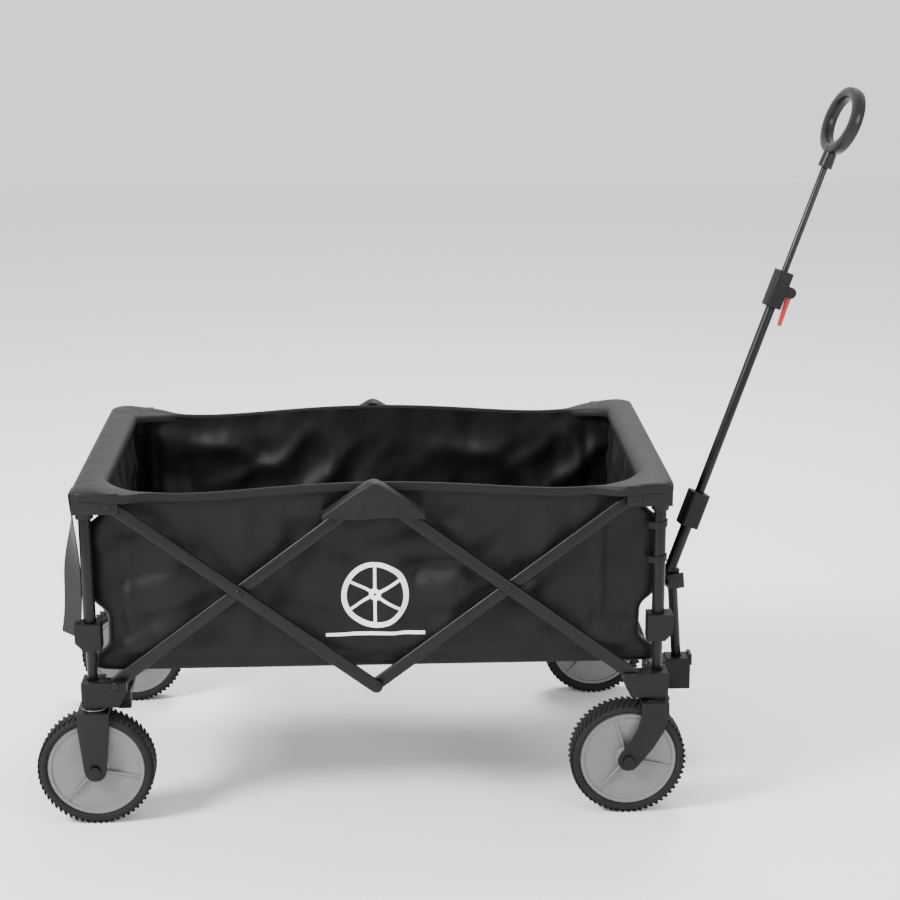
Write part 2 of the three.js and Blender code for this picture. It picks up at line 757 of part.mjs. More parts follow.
function poleCollar() {
  const body = plateXY(
    roundedRectangle(poleCollarHalf, poleCollarHalf - 1, 7), poleCollarFoot, poleCollarTop);
  return cut(
    body.translate(poleOffset, 0, 0),
    rodZ(lowerPoleRadius + clearance, poleCollarFoot - 1, lowerPoleTop + clearance, poleOffset),
    rodZ(midPoleRadius + clearance, lowerPoleTop, poleCollarTop + 1, poleOffset),
  );
}
add(pole, "handle_pole_collar", poleCollar(), plastic);

// The latch clamps the upper pole when its lever lies against the middle pole.
const leverX = poleOffset + latchPivotX;
const leverHalf = leverWidth / 2;

function latch() {
  const body = plateXY(roundedRectangle(latchHalfX, latchHalfY, 6), latchFoot, latchTop);
  const ears = rodY(latchEarRadius, 1 - latchHalfY, latchHalfY - 1, leverX, latchPivotZ);
  const neck = block(
    [poleOffset + latchHalfX - 2, 1 - latchHalfY, latchPivotZ - latchEarRadius],
    [leverX, latchHalfY - 1, latchPivotZ + latchEarRadius],
  );
  const gap = leverHalf + 2 * clearance;
  const room = leverHubRadius + 2 * clearance;
  const pocket = block(
    [leverX - room, -gap, latchFoot - 1],
    [leverX + 30, gap, latchPivotZ + latchEarRadius + 1],
  );
  const housing = cut(
    join(body.translate(poleOffset, 0, 0), ears, neck),
    pocket,
    rodZ(midPoleRadius + clearance, latchFoot - 1, midPoleTop + clearance, poleOffset),
    rodZ(upperPoleRadius + 2 * clearance, midPoleTop, latchTop + 1, poleOffset),
  );
  return join(housing, rodY(leverPinRadius, -gap - 1, gap + 1, leverX, latchPivotZ));
}
add(pole, "handle_latch", latch(), plastic);

function latchLever() {
  const hubBody = rodY(leverHubRadius, -leverHalf, leverHalf);
  const arm = new THREE.Shape();
  arm.moveTo(-1, 0);
  arm.quadraticCurveTo(1, -leverLength / 2, 4, -leverLength);
  arm.lineTo(8, -leverLength + 1);
  arm.quadraticCurveTo(7, -leverLength / 2, 7, 0);
  return cut(
    join(hubBody, plateXZ(arm, 1 - leverHalf, leverHalf - 1)),
    rodY(leverPinRadius + clearance, -leverWidth, leverWidth),
  );
}
add(pole, "handle_latch_lever", latchLever(), redPlastic, leverX, 0, latchPivotZ);

const upper = tubeZ(upperPoleRadius, upperPoleWall, upperPoleFoot, upperPoleTop, poleOffset);
add(pole, "handle_upper_pole", upper, steel);

// The ring grip: an oval loop standing in line with the pole, on a tapered neck.
function ringGrip() {
  const loop = new THREE.TorusGeometry(1, 0.2, 8, 28);
  const place = loop.getAttribute("position");
  const point = new THREE.Vector3();
  for (let i = 0; i < place.count; i++) {
    point.fromBufferAttribute(place, i);
    const around = Math.atan2(point.y, point.x);
    const band = (Math.hypot(point.x, point.y) - 1) / 0.2;
    const depth = point.z / 0.2;
    const y = (gripRingHalfY + band * gripBand) * Math.cos(around);
    const z = (gripRingHalfZ + band * gripBand) * Math.sin(around);
    place.setXYZ(i, depth * gripDepth, y, z);
  }
  loop.translate(poleOffset, 0, gripRingCentre);
  const neckTop = gripRingCentre - gripRingHalfZ;
  const neck = new THREE.CylinderGeometry(10, 12, neckTop - gripNeckFoot, tubeSides);
  neck.rotateX(Math.PI / 2).translate(poleOffset, 0, (neckTop + gripNeckFoot) / 2);
  const socket = rodZ(
    upperPoleRadius + clearance, gripNeckFoot - 1, upperPoleTop + clearance, poleOffset);
  return cut(join(loop, neck), socket);
}
add(pole, "handle_ring_grip", ringGrip(), gripPlastic);

// ---- Fabric bin: an open tub hung inside the frame, its rim lapping over the end bars ----
function fabricBin() {
  const rimTop = rimZ + rimThickness;
  const tub = cut(
    block([-binHalfX, -binHalfY, binFloorZ], [binHalfX, binHalfY, rimTop]),
    block(
      [binWall - binHalfX, binWall - binHalfY, binFloorZ + binWall],
      [binHalfX - binWall, binHalfY - binWall, rimTop + 1],
    ),
  );
  const rimX = postX + rimOverhangX;
  const laps = [-1, 1].flatMap((sign) => {
    const [endLow, endHigh] = [sign * (binHalfX - 1), sign * rimX].sort((a, b) => a - b);
    const [lapLow, lapHigh] = [sign * (rimX - rimCornerLength), sign * rimX].sort((a, b) => a - b);
    return [
      block([endLow, -rimCornerHalfY, rimZ], [endHigh, rimCornerHalfY, rimTop]),
      block([lapLow, binHalfY - 1, rimZ], [lapHigh, rimCornerHalfY, rimTop]),
      block([lapLow, -rimCornerHalfY, rimZ], [lapHigh, 1 - binHalfY, rimTop]),
    ];
  });
  return join(tub, ...laps);
}
add(wagon, "fabric_bin", fabricBin(), fabric);

// ---- Floor boards: one padded mat of stiff boards with fold lines between them ----
function floorBoards() {
  const halfX = binHalfX - binWall - boardGap;
  const halfY = binHalfY - binWall - boardGap;
  const foot = binFloorZ + binWall + 1;
  const top = foot + boardThickness;
  const grooves = Array.from({ length: boardCount - 1 }, (_, i) => {
    const x = halfX * ((2 * (i + 1)) / boardCount - 1);
    return block(
      [x - foldGroove / 2, -halfY - 1, top - foldGrooveDepth],
      [x + foldGroove / 2, halfY + 1, top + 1],
    );
  });
  return cut(block([-halfX, -halfY, foot], [halfX, halfY, top]), ...grooves);
}
add(wagon, "floor_boards", floorBoards(), webbing);

// ---- Hook-and-loop strap that hangs from the rear rim and ties the folded wagon ----
function tieStrap() {
  const x = -(bracketOuterX + 2.5);
  const bow = new THREE.CubicBezierCurve(
    new THREE.Vector2(x, strapTopZ),
    new THREE.Vector2(x - 1, strapTopZ - 110),
    new THREE.Vector2(x - 2, strapFootZ + 90),
    new THREE.Vector2(x - strapFlare, strapFootZ),
  );
  const line = bow.getPoints(10);
  const back = line.map((p) => [p.x, p.y]);
  const face = line.map((p) => [p.x - strapThickness, p.y]).reverse();
  return plateXZ(outline([...back, ...face]), -strapWidth / 2, strapWidth / 2);
}
add(wagon, "rear_tie_strap", tieStrap(), webbing, 0, strapWidth / 2 - postY - 10, 0);

// The origin is on the ground, under the middle of the whole object's length.
const extent = new THREE.Box3().setFromObject(wagon, true);
wagon.position.x = -(extent.min.x + extent.max.x) / 2;

export default wagon;
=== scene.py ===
import json
import math

import bmesh
import bpy
import numpy as np
from mathutils import Matrix, Vector


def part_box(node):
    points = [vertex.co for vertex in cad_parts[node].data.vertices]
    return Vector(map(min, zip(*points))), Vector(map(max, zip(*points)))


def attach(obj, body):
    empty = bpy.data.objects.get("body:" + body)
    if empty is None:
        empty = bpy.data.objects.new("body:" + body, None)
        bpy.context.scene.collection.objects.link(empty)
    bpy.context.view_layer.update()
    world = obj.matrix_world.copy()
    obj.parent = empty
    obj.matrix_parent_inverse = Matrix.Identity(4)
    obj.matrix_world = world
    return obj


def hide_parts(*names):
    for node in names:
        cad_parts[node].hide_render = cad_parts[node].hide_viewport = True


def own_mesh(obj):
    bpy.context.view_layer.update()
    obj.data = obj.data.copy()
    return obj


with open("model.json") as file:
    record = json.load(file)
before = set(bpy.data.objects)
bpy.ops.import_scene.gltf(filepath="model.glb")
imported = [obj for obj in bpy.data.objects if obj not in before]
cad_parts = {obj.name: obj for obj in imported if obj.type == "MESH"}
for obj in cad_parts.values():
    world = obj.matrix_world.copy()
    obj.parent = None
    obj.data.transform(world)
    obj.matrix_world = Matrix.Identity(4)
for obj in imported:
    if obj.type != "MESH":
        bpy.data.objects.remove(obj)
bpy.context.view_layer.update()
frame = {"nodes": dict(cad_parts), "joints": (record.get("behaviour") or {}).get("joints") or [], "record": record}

# ---- Studio: a pale floor, a pale wall of light and a long lens at standing height ----
# The wagon stands on seamless white paper, lit by three large soft boxes and a bright surround.
# The lens looks at the middle of the wagon's right side, a little downwards.
def hex_colour(text):
    channels = [int(text[i:i + 2], 16) / 255 for i in (1, 3, 5)]
    linear = [c / 12.92 if c <= 0.04045 else ((c + 0.055) / 1.055) ** 2.4 for c in channels]
    return (*linear, 1)


def add_node(material, kind, settings=None, **inputs):
    """A node with its settings; each input is a value or another node's output socket."""
    node = material.node_tree.nodes.new(kind)
    for key, value in (settings or {}).items():
        setattr(node, key, value)
    for key, value in inputs.items():
        socket = node.inputs[int(key[1:])] if key[0] == "_" else node.inputs[key.replace("_", " ")]
        if isinstance(value, bpy.types.NodeSocket):
            material.node_tree.links.new(value, socket)
        else:
            socket.default_value = value
    return node


def new_material(name):
    """An empty material with a principled shader wired to its output."""
    material = bpy.data.materials.new(name)
    material.use_nodes = True
    material.node_tree.nodes.clear()
    shader = add_node(material, "ShaderNodeBsdfPrincipled")
    add_node(material, "ShaderNodeOutputMaterial", Surface=shader.outputs["BSDF"])
    return material, shader


MM = 0.001
rear_post_low, rear_post_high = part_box("rear_left_outer_post")
front_post_low, front_post_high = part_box("front_left_outer_post")
rear_x = (rear_post_low.x + rear_post_high.x) / 2
front_x = (front_post_low.x + front_post_high.x) / 2
middle_x = (rear_x + front_x) / 2
post_y = (front_post_low.y + front_post_high.y) / 2

camera_data = bpy.data.cameras.new("Camera")
camera_data.lens = 80.1
camera_data.sensor_width = 36
camera_data.clip_end = 60
camera = bpy.data.objects.new("Camera", camera_data)
camera_yaw = math.radians(-2.19)
camera_pitch = math.radians(90 - 15.14)
camera_roll = math.radians(-0.26)
turn = Matrix.Rotation(camera_yaw, 4, "Z") @ Matrix.Rotation(camera_pitch, 4, "X")
turn = turn @ Matrix.Rotation(camera_roll, 4, "Z")
camera.matrix_world = Matrix.Translation((middle_x + 0.0048, -3.0974, 1.3522)) @ turn
bpy.context.scene.collection.objects.link(camera)
bpy.context.scene.camera = camera

bpy.ops.object.select_all(action="DESELECT")
bpy.ops.mesh.primitive_plane_add(size=14)
floor = bpy.context.object
floor.name = "studio_floor"
paper, paper_shader = new_material("Seamless white paper, matt")
paper_shader.inputs["Base Color"].default_value = hex_colour("#f4f4f4")
paper_shader.inputs["Roughness"].default_value = 0.9
paper_shader.inputs["Specular IOR Level"].default_value = 0.2
floor.data.materials.append(paper)

world = bpy.data.worlds.new("Studio surround")
bpy.context.scene.world = world
world.use_nodes = True
surround = world.node_tree.nodes["Background"]
surround.inputs["Color"].default_value = (1, 1, 1, 1)
surround.inputs["Strength"].default_value = 1.3

for lamp_name, place, target, size, watts in (
    ("Key soft box", (-2.4, -1.4, 2.6), (0, 0, 0.3), 1.0, 190),
    ("Fill soft box", (2.4, -2.6, 1.6), (0, 0, 0.4), 1.2, 45),
    ("Back soft box", (0.4, 1.6, 3.2), (0, 0, 0.4), 1.6, 110),
):
    lamp_data = bpy.data.lights.new(lamp_name, "AREA")
    lamp_data.shape = "DISK"
    lamp_data.size = size
    lamp_data.energy = watts
    lamp = bpy.data.objects.new(lamp_name, lamp_data)
    lamp.location = place
    lamp.rotation_euler = (Vector(target) - Vector(place)).to_track_quat("-Z", "Y").to_euler()
    bpy.context.scene.collection.objects.link(lamp)

# ---- Corner posts: four telescoping pairs of steel tube ----
# Welded mild steel tube in black powder coat; the thin inner tube slides in the outer one
# when the frame folds. Tube ends are cut square and slightly broken.
body_of_node = {
    node: body
    for body, nodes in frame["record"]["behaviour"]["bodies"].items()
    for node in nodes
}
corner_names = [f"{end}_{side}" for end in ("rear", "front") for side in ("left", "right")]

black_coat, black_coat_shader = new_material("Mild steel, black powder coat")
# Baked polyester powder: near black, half gloss, with a fine orange peel that breaks reflections.
coat_place = add_node(black_coat, "ShaderNodeTexCoord").outputs["Object"]
coat_peel = add_node(
    black_coat, "ShaderNodeTexNoise", Vector=coat_place, Scale=1 / (1.4 * MM), Detail=2.0)
coat_wear = add_node(
    black_coat, "ShaderNodeTexNoise", Vector=coat_place, Scale=1 / (38 * MM), Detail=5.0)
coat_tone = add_node(
    black_coat, "ShaderNodeMix", {"data_type": "RGBA"}, Factor=coat_wear.outputs["Fac"],
    _6=hex_colour("#070707"), _7=hex_colour("#0e0e0e"))
coat_gloss = add_node(
    black_coat, "ShaderNodeMapRange", Value=coat_wear.outputs["Fac"],
    From_Min=0.3, From_Max=0.7, To_Min=0.34, To_Max=0.46)
coat_bump = add_node(
    black_coat, "ShaderNodeBump", Height=coat_peel.outputs["Fac"], Strength=0.12, Distance=0.1 * MM)
black_coat.node_tree.links.new(coat_tone.outputs[2], black_coat_shader.inputs["Base Color"])
black_coat.node_tree.links.new(coat_gloss.outputs[0], black_coat_shader.inputs["Roughness"])
black_coat.node_tree.links.new(coat_bump.outputs[0], black_coat_shader.inputs["Normal"])
black_coat_shader.inputs["Specular IOR Level"].default_value = 0.24


def start_clean():
    if bpy.context.object and bpy.context.object.mode != "OBJECT":
        bpy.ops.object.mode_set(mode="OBJECT")
    bpy.ops.object.select_all(action="DESELECT")


def select_only(piece):
    start_clean()
    piece.select_set(True)
    bpy.context.view_layer.objects.active = piece


def settle(piece):
    """Applies a piece's place and modifiers, so that its object sits at the origin."""
    select_only(piece)
    bpy.ops.object.transform_apply(location=True, rotation=True, scale=True)
    for modifier in list(piece.modifiers):
        bpy.ops.object.modifier_apply(modifier=modifier.name)


def soften(piece, width, segments=2, angle=35):
    """Rounds a piece's sharp edges and shades it smoothly between them."""
    bevel = piece.modifiers.new("Broken edges", "BEVEL")
    bevel.width = width
    bevel.segments = segments
    bevel.limit_method = "ANGLE"
    bevel.angle_limit = math.radians(angle)
    bevel.use_clamp_overlap = True
    settle(piece)
    bpy.ops.object.shade_smooth_by_angle(angle=math.radians(angle))
    return piece


def fit(piece, name, slot, material, body, *nodes):
    """Names and finishes a piece, fixes it to its body and lets it stand for CAD nodes."""
    piece.name = name
    piece.data.materials.clear()
    piece.data.materials.append(material)
    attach(piece, body)
    if nodes:
        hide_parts(*nodes)
    return piece


def tube_between(foot, top, radius, wall):
    """An open round tube with softly broken ends."""
    start_clean()
    axis = Vector(top) - Vector(foot)
    bpy.ops.mesh.primitive_cylinder_add(
        vertices=48, radius=radius, depth=axis.length, end_fill_type="NOTHING",
        location=(Vector(foot) + Vector(top)) / 2,
        rotation=axis.to_track_quat("Z", "Y").to_euler())
    tube = bpy.context.object
    shell = tube.modifiers.new("Wall", "SOLIDIFY")
    shell.thickness = wall
    shell.offset = -1
    settle(tube)
    return soften(tube, wall * 0.3)


for corner in corner_names:
    for part, wall in (("outer_post", 1.2 * MM), ("inner_post", 1.2 * MM)):
        node = f"{corner}_{part}"
        low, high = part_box(node)
        x, y = (low.x + high.x) / 2, (low.y + high.y) / 2
        tube = tube_between((x, y, low.z), (x, y, high.z), (high.x - low.x) / 2, wall)
        fit(tube, f"{node}_tube", "black_steel", black_coat, body_of_node[node], node)

# ---- Cross bars: two upper, one rear lower and one dropped front bar ----
# Round steel tube pushed into the brackets' sockets. The front lower bar is bent down and
# forward in the middle, so that the casters swing clear and the handle's foot has a seat.
for node, wall in (
    ("rear_upper_cross_bar", 1.2 * MM),
    ("front_upper_cross_bar", 1.2 * MM),
    ("rear_lower_cross_bar", 1.5 * MM),
):
    low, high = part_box(node)
    x, z = (low.x + high.x) / 2, (low.z + high.z) / 2
    tube = tube_between((x, low.y, z), (x, high.y, z), (high.x - low.x) / 2, wall)
    fit(tube, f"{node}_tube", "black_steel", black_coat, body_of_node[node], node)

dropped_low, dropped_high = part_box("front_lower_cross_bar")
dropped_radius = 8 * MM
dropped_shoulder = 165 * MM
dropped_middle = 80 * MM
dropped_bend = 18 * MM
high_z = dropped_high.z - dropped_radius
low_z = dropped_low.z + dropped_radius
reach_x = dropped_high.x - dropped_radius
half_route = [
    Vector((front_x, -dropped_high.y, high_z)),
    Vector((front_x, -dropped_shoulder, high_z)),
    Vector((reach_x, -dropped_middle, low_z)),
]
route = half_route + [Vector((p.x, -p.y, p.z)) for p in reversed(half_route)]
bent = [route[0]]
for before, bend, after in zip(route, route[1:], route[2:]):
    entry = bend + (before - bend).normalized() * dropped_bend
    leave = bend + (after - bend).normalized() * dropped_bend
    for step in range(9):
        t = step / 8
        bent.append(entry * (1 - t) ** 2 + bend * (2 * t * (1 - t)) + leave * t ** 2)
bent.append(route[-1])
bar_line = bpy.data.curves.new("front_lower_cross_bar_tube", "CURVE")
bar_line.dimensions = "3D"
bar_line.bevel_depth = dropped_radius
bar_line.bevel_resolution = 8
bar_line.use_fill_caps = True
spline = bar_line.splines.new("POLY")
spline.points.add(len(bent) - 1)
for point, place in zip(spline.points, bent):
    point.co = (*place, 1)
dropped_bar = bpy.data.objects.new("front_lower_cross_bar_tube", bar_line)
bpy.context.scene.collection.objects.link(dropped_bar)
select_only(dropped_bar)
bpy.ops.object.convert(target="MESH")
dropped_bar = bpy.context.object
bpy.ops.object.shade_smooth_by_angle(angle=math.radians(40))
fit(dropped_bar, "front_lower_cross_bar_tube", "black_steel", black_coat,
    "front_lower_frame", "front_lower_cross_bar")

# ---- Scissor bars: four flat-oval tubes on each side, riveted in two layers ----
# Round tube rolled flat, 20 by 8 mm, with rounded ends; its full edges catch the light.
# Dome-headed steel rivets, coated with the bars, hold the crossings and the middles.
joint_place = {joint["name"]: Vector(joint["pos_m"]) for joint in frame["joints"] if "pos_m" in joint}
rear_low_pivot = joint_place["frame_fold"]
rear_high_pivot = joint_place["rear_upper_pivot"]
front_low_pivot = joint_place["front_lower_pivot"]
front_high_pivot = joint_place["front_upper_pivot"]
high_centre_pivot = joint_place["upper_centre_pivot"]
low_centre_pivot = Vector((
    high_centre_pivot.x, 0,
    rear_high_pivot.z - (high_centre_pivot.z - rear_low_pivot.z)))
bar_height = 20 * MM
bar_thickness = 8 * MM
outer_bar_low, outer_bar_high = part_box("left_rear_outer_bar")
outer_layer = (outer_bar_low.y + outer_bar_high.y) / 2
inner_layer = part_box("left_rear_inner_bar")[0].y + bar_thickness / 2


def scissor_bar(start, end, y):
    """A flat-oval bar in the plane y, with round ends about its two end pivots."""
    start_clean()
    span = Vector((end.x - start.x, 0, end.z - start.z))
    bpy.ops.mesh.primitive_cube_add(size=1)
    bar = bpy.context.object
    bar.scale = (span.length + bar_height, bar_thickness, bar_height)
    bpy.ops.object.transform_apply(scale=True)
    bpy.ops.object.mode_set(mode="EDIT")
    mesh = bmesh.from_edit_mesh(bar.data)
    for edge in mesh.edges:
        along = (edge.verts[0].co - edge.verts[1].co).normalized()
        edge.select_set(abs(along.y) > 0.9)
    bmesh.update_edit_mesh(bar.data)
    bpy.ops.mesh.bevel(offset=bar_height * 0.497, segments=12, affect="EDGES")
    mesh = bmesh.from_edit_mesh(bar.data)
    for edge in mesh.edges:
        edge.select_set(all(abs(abs(v.co.y) - bar_thickness / 2) < 1e-6 for v in edge.verts)
                        and len({round(f.normal.y) for f in edge.link_faces}) > 1)
    bmesh.update_edit_mesh(bar.data)
    bpy.ops.mesh.bevel(offset=bar_thickness * 0.44, segments=5, affect="EDGES")
    bpy.ops.object.mode_set(mode="OBJECT")
    bar.rotation_euler.y = -math.atan2(span.z, span.x)
    middle = (start + end) / 2
    bar.location = (middle.x, y, middle.z)
    settle(bar)
    bpy.ops.object.shade_smooth_by_angle(angle=math.radians(40))
    return bar


def rivet_head(x, y, z, outwards):
    """A shallow dome on a flat washer, its crown facing outwards along Y."""
    start_clean()
    bpy.ops.mesh.primitive_uv_sphere_add(segments=32, ring_count=16, radius=6.2 * MM)
    head = bpy.context.object
    bpy.ops.object.mode_set(mode="EDIT")
    bpy.ops.mesh.select_all(action="SELECT")
    bpy.ops.mesh.bisect(plane_co=(0, 0, 0), plane_no=(0, 0, 1), clear_inner=True, use_fill=True)
    mesh = bmesh.from_edit_mesh(head.data)
    for face in mesh.faces:
        face.select_set(face.normal.z < -0.9)
    bmesh.update_edit_mesh(head.data)
    bpy.ops.mesh.inset(thickness=-1.2 * MM)
    bpy.ops.object.mode_set(mode="OBJECT")
    head.scale = (1, 1, 0.42)
    head.rotation_euler.x = -math.radians(90) * outwards
    head.location = (x, y, z)
    settle(head)
    bpy.ops.object.shade_smooth_by_angle(angle=math.radians(50))
    return head


bar_ends = {
    "rear_inner_bar": (rear_low_pivot, high_centre_pivot, inner_layer),
    "rear_outer_bar": (rear_high_pivot, low_centre_pivot, outer_layer),
    "front_inner_bar": (low_centre_pivot, front_high_pivot, inner_layer),
    "front_outer_bar": (high_centre_pivot, front_low_pivot, outer_layer),
}
crossings = {
    "rear_crossing": (joint_place["rear_crossing"], "rear_outer_bars"),
    "front_crossing": (joint_place["front_crossing"], "front_outer_bars"),
    "upper_centre": (high_centre_pivot, "front_outer_bars"),
    "lower_centre": (low_centre_pivot, "rear_outer_bars"),
}
for side, sign in (("left", 1), ("right", -1)):
    for bar_name, (start, end, layer) in bar_ends.items():
        node = f"{side}_{bar_name}"
        bar = scissor_bar(start, end, sign * layer)
        fit(bar, f"{node}_tube", "black_steel", black_coat, body_of_node[node], node)
    for pivot_name, (pivot, body) in crossings.items():
        rivet = rivet_head(pivot.x, sign * (outer_layer + bar_thickness / 2), pivot.z, sign)
        fit(rivet, f"{side}_{pivot_name}_rivet", "black_steel", black_coat, body)

# ---- Corner brackets and post collars: injection-moulded black nylon ----
# Upper brackets seat the post, the cross bar and one bar's end; lower ones seat the post and
# the other bar. A collar with a thumb tab closes each outer tube. Steel pins hold the bars.
black_nylon, nylon_shader = new_material("Glass-filled nylon, moulded black")
# Spark-eroded mould texture: dark grey, dull, with a fine even grain.
nylon_place = add_node(black_nylon, "ShaderNodeTexCoord").outputs["Object"]
nylon_grain = add_node(
    black_nylon, "ShaderNodeTexNoise", Vector=nylon_place, Scale=1 / (0.9 * MM), Detail=3.0)
nylon_flow = add_node(
    black_nylon, "ShaderNodeTexNoise", Vector=nylon_place, Scale=1 / (26 * MM), Detail=3.0)
nylon_tone = add_node(
    black_nylon, "ShaderNodeMix", {"data_type": "RGBA"}, Factor=nylon_flow.outputs["Fac"],
    _6=hex_colour("#0e0e0f"), _7=hex_colour("#171718"))
nylon_gloss = add_node(
    black_nylon, "ShaderNodeMapRange", Value=nylon_grain.outputs["Fac"],
    From_Min=0.3, From_Max=0.7, To_Min=0.46, To_Max=0.6)
nylon_bump = add_node(
    black_nylon, "ShaderNodeBump", Height=nylon_grain.outputs["Fac"], Strength=0.2, Distance=0.1 * MM)
black_nylon.node_tree.links.new(nylon_tone.outputs[2], nylon_shader.inputs["Base Color"])
black_nylon.node_tree.links.new(nylon_gloss.outputs[0], nylon_shader.inputs["Roughness"])
black_nylon.node_tree.links.new(nylon_bump.outputs[0], nylon_shader.inputs["Normal"])
nylon_shader.inputs["Specular IOR Level"].default_value = 0.2

zinc, zinc_shader = new_material("Zinc-plated steel, dulled")
# Thin passivated plating: cool grey, metallic, slightly cloudy.
zinc_place = add_node(zinc, "ShaderNodeTexCoord").outputs["Object"]
zinc_cloud = add_node(zinc, "ShaderNodeTexNoise", Vector=zinc_place, Scale=1 / (4 * MM), Detail=4.0)
zinc_tone = add_node(
    zinc, "ShaderNodeMix", {"data_type": "RGBA"}, Factor=zinc_cloud.outputs["Fac"],
    _6=hex_colour("#6c6d70"), _7=hex_colour("#97989b"))
zinc_gloss = add_node(
    zinc, "ShaderNodeMapRange", Value=zinc_cloud.outputs["Fac"], To_Min=0.28, To_Max=0.5)
zinc.node_tree.links.new(zinc_tone.outputs[2], zinc_shader.inputs["Base Color"])
zinc.node_tree.links.new(zinc_gloss.outputs[0], zinc_shader.inputs["Roughness"])
zinc_shader.inputs["Metallic"].default_value = 1


def finished_copy(node, width, segments=2):
    """The node's own shape with its facets merged into flats and its edges rounded."""
    start_clean()
    piece = frame["nodes"][node].copy()
    piece.data = piece.data.copy()
    piece.parent = None
    for key in [k for k in piece.keys() if k.startswith("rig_")]:
        del piece[key]
    bpy.context.scene.collection.objects.link(piece)
    piece.matrix_world = Matrix.Identity(4)
    select_only(piece)
    bpy.ops.object.mode_set(mode="EDIT")
    bpy.ops.mesh.select_all(action="SELECT")
    bpy.ops.mesh.remove_doubles(threshold=1e-5)
    bpy.ops.mesh.dissolve_limited(angle_limit=math.radians(1.5))
    bpy.ops.object.mode_set(mode="OBJECT")
    return soften(piece, width, segments)


for corner in corner_names:
    outwards = 1 if corner.endswith("left") else -1
    pivots = {
        "upper_bracket": rear_high_pivot if corner.startswith("rear") else front_high_pivot,
        "lower_bracket": rear_low_pivot if corner.startswith("rear") else front_low_pivot,
    }
    for part, pivot in pivots.items():
        node = f"{corner}_{part}"
        shell = finished_copy(node, 1.6 * MM)
        fit(shell, f"{node}_shell", "black_plastic", black_nylon, body_of_node[node], node)
        low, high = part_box(node)
        face_y = high.y if outwards > 0 else low.y
        pin = rivet_head(pivot.x, face_y, pivot.z, outwards)
        fit(pin, f"{node}_pin", "black_steel", black_coat, body_of_node[node])
    node = f"{corner}_post_collar"
    collar = finished_copy(node, 2.2 * MM, 3)
    fit(collar, f"{node}_shell", "black_plastic", black_nylon, body_of_node[node], node)
    # Three grip ribs across the thumb tab.
    low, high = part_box(node)
    ahead = 1 if corner.startswith("front") else -1
    tab_x = high.x if ahead > 0 else low.x
    start_clean()
    bpy.ops.mesh.primitive_cube_add(size=1)
    ribs = bpy.context.object
    ribs.scale = (2.4 * MM, (high.y - low.y) * 0.62, 2.2 * MM)
    ribs.location = (tab_x, (low.y + high.y) / 2, high.z - 9 * MM)
    row = ribs.modifiers.new("Row", "ARRAY")
    row.count = 3
    row.use_relative_offset = False
    row.use_constant_offset = True
    row.constant_offset_displace = (0, 0, -5 * MM / ribs.scale.z)
    bpy.ops.object.modifier_apply(modifier=row.name)
    soften(ribs, 0.9 * MM, 3)
    fit(ribs, f"{corner}_collar_grip_ribs", "black_plastic", black_nylon, body_of_node[node])

# ---- Forks: two fixed at the rear, two casters at the front ----
# Rear forks are pressed steel; caster forks are moulded nylon over a swivel bearing.
# A pale steel washer shows between each rear fork and its bracket.
for corner in corner_names:
    is_rear = corner.startswith("rear")
    node = f"{corner}_fork" if is_rear else f"{corner}_caster_fork"
    fork = finished_copy(node, 1.4 * MM if is_rear else 2.0 * MM, 3)
    fit(fork, f"{node}_shell", "black_steel" if is_rear else "black_plastic",
        black_coat if is_rear else black_nylon, body_of_node[node], node)
    low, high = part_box(node)
    post_x = rear_x if is_rear else front_x
    side_y = (low.y + high.y) / 2
    start_clean()
    bpy.ops.mesh.primitive_cylinder_add(
        vertices=64, radius=(19.5 if is_rear else 21.5) * MM, depth=(2.4 if is_rear else 7) * MM,
        location=(post_x, side_y, (184.5 if is_rear else 181) * MM))
    ring = soften(bpy.context.object, (0.6 if is_rear else 2.6) * MM, 4)
    fit(ring, f"{corner}_swivel_washer" if is_rear else f"{corner}_bearing_cup",
        "axle" if is_rear else "black_plastic", zinc if is_rear else black_nylon,
        body_of_node[node])
    axle_node = f"{corner}_axle"
    bolt = finished_copy(axle_node, 0.8 * MM, 2)
    fit(bolt, f"{corner}_axle_bolt", "axle", black_coat if is_rear else black_nylon,
        body_of_node[axle_node], axle_node)

# ---- Wheels: light grey moulded hubs with three ribs, in black soft tyres ----
# The hub's disc is dished, with a raised rim ring and three thin ribs on each face. The tyre is
# foamed EVA rubber with slanted tread bars that run over its shoulders.
hub_low, hub_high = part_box("rear_right_hub")
tyre_low, tyre_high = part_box("rear_right_tyre")
wheel_radius = (tyre_high.z - tyre_low.z) / 2
hub_radius = (hub_high.x - hub_low.x) / 2
hub_half = (hub_high.y - hub_low.y) / 2
tyre_half = (tyre_high.y - tyre_low.y) / 2

grey_abs, grey_abs_shader = new_material("ABS, moulded light grey")
# Fine satin mould finish; a little road dust dulls it in patches.
abs_place = add_node(grey_abs, "ShaderNodeTexCoord").outputs["Object"]
abs_dust = add_node(
    grey_abs, "ShaderNodeTexNoise", Vector=abs_place, Scale=1 / (30 * MM), Detail=6.0)
abs_grain = add_node(
    grey_abs, "ShaderNodeTexNoise", Vector=abs_place, Scale=1 / (0.8 * MM), Detail=2.0)
abs_tone = add_node(
    grey_abs, "ShaderNodeMix", {"data_type": "RGBA"}, Factor=abs_dust.outputs["Fac"],
    _6=hex_colour("#6f6e6d"), _7=hex_colour("#605f5e"))
abs_gloss = add_node(
    grey_abs, "ShaderNodeMapRange", Value=abs_dust.outputs["Fac"],
    From_Min=0.3, From_Max=0.7, To_Min=0.36, To_Max=0.52)
abs_bump = add_node(
    grey_abs, "ShaderNodeBump", Height=abs_grain.outputs["Fac"], Strength=0.1, Distance=0.05 * MM)
grey_abs.node_tree.links.new(abs_tone.outputs[2], grey_abs_shader.inputs["Base Color"])
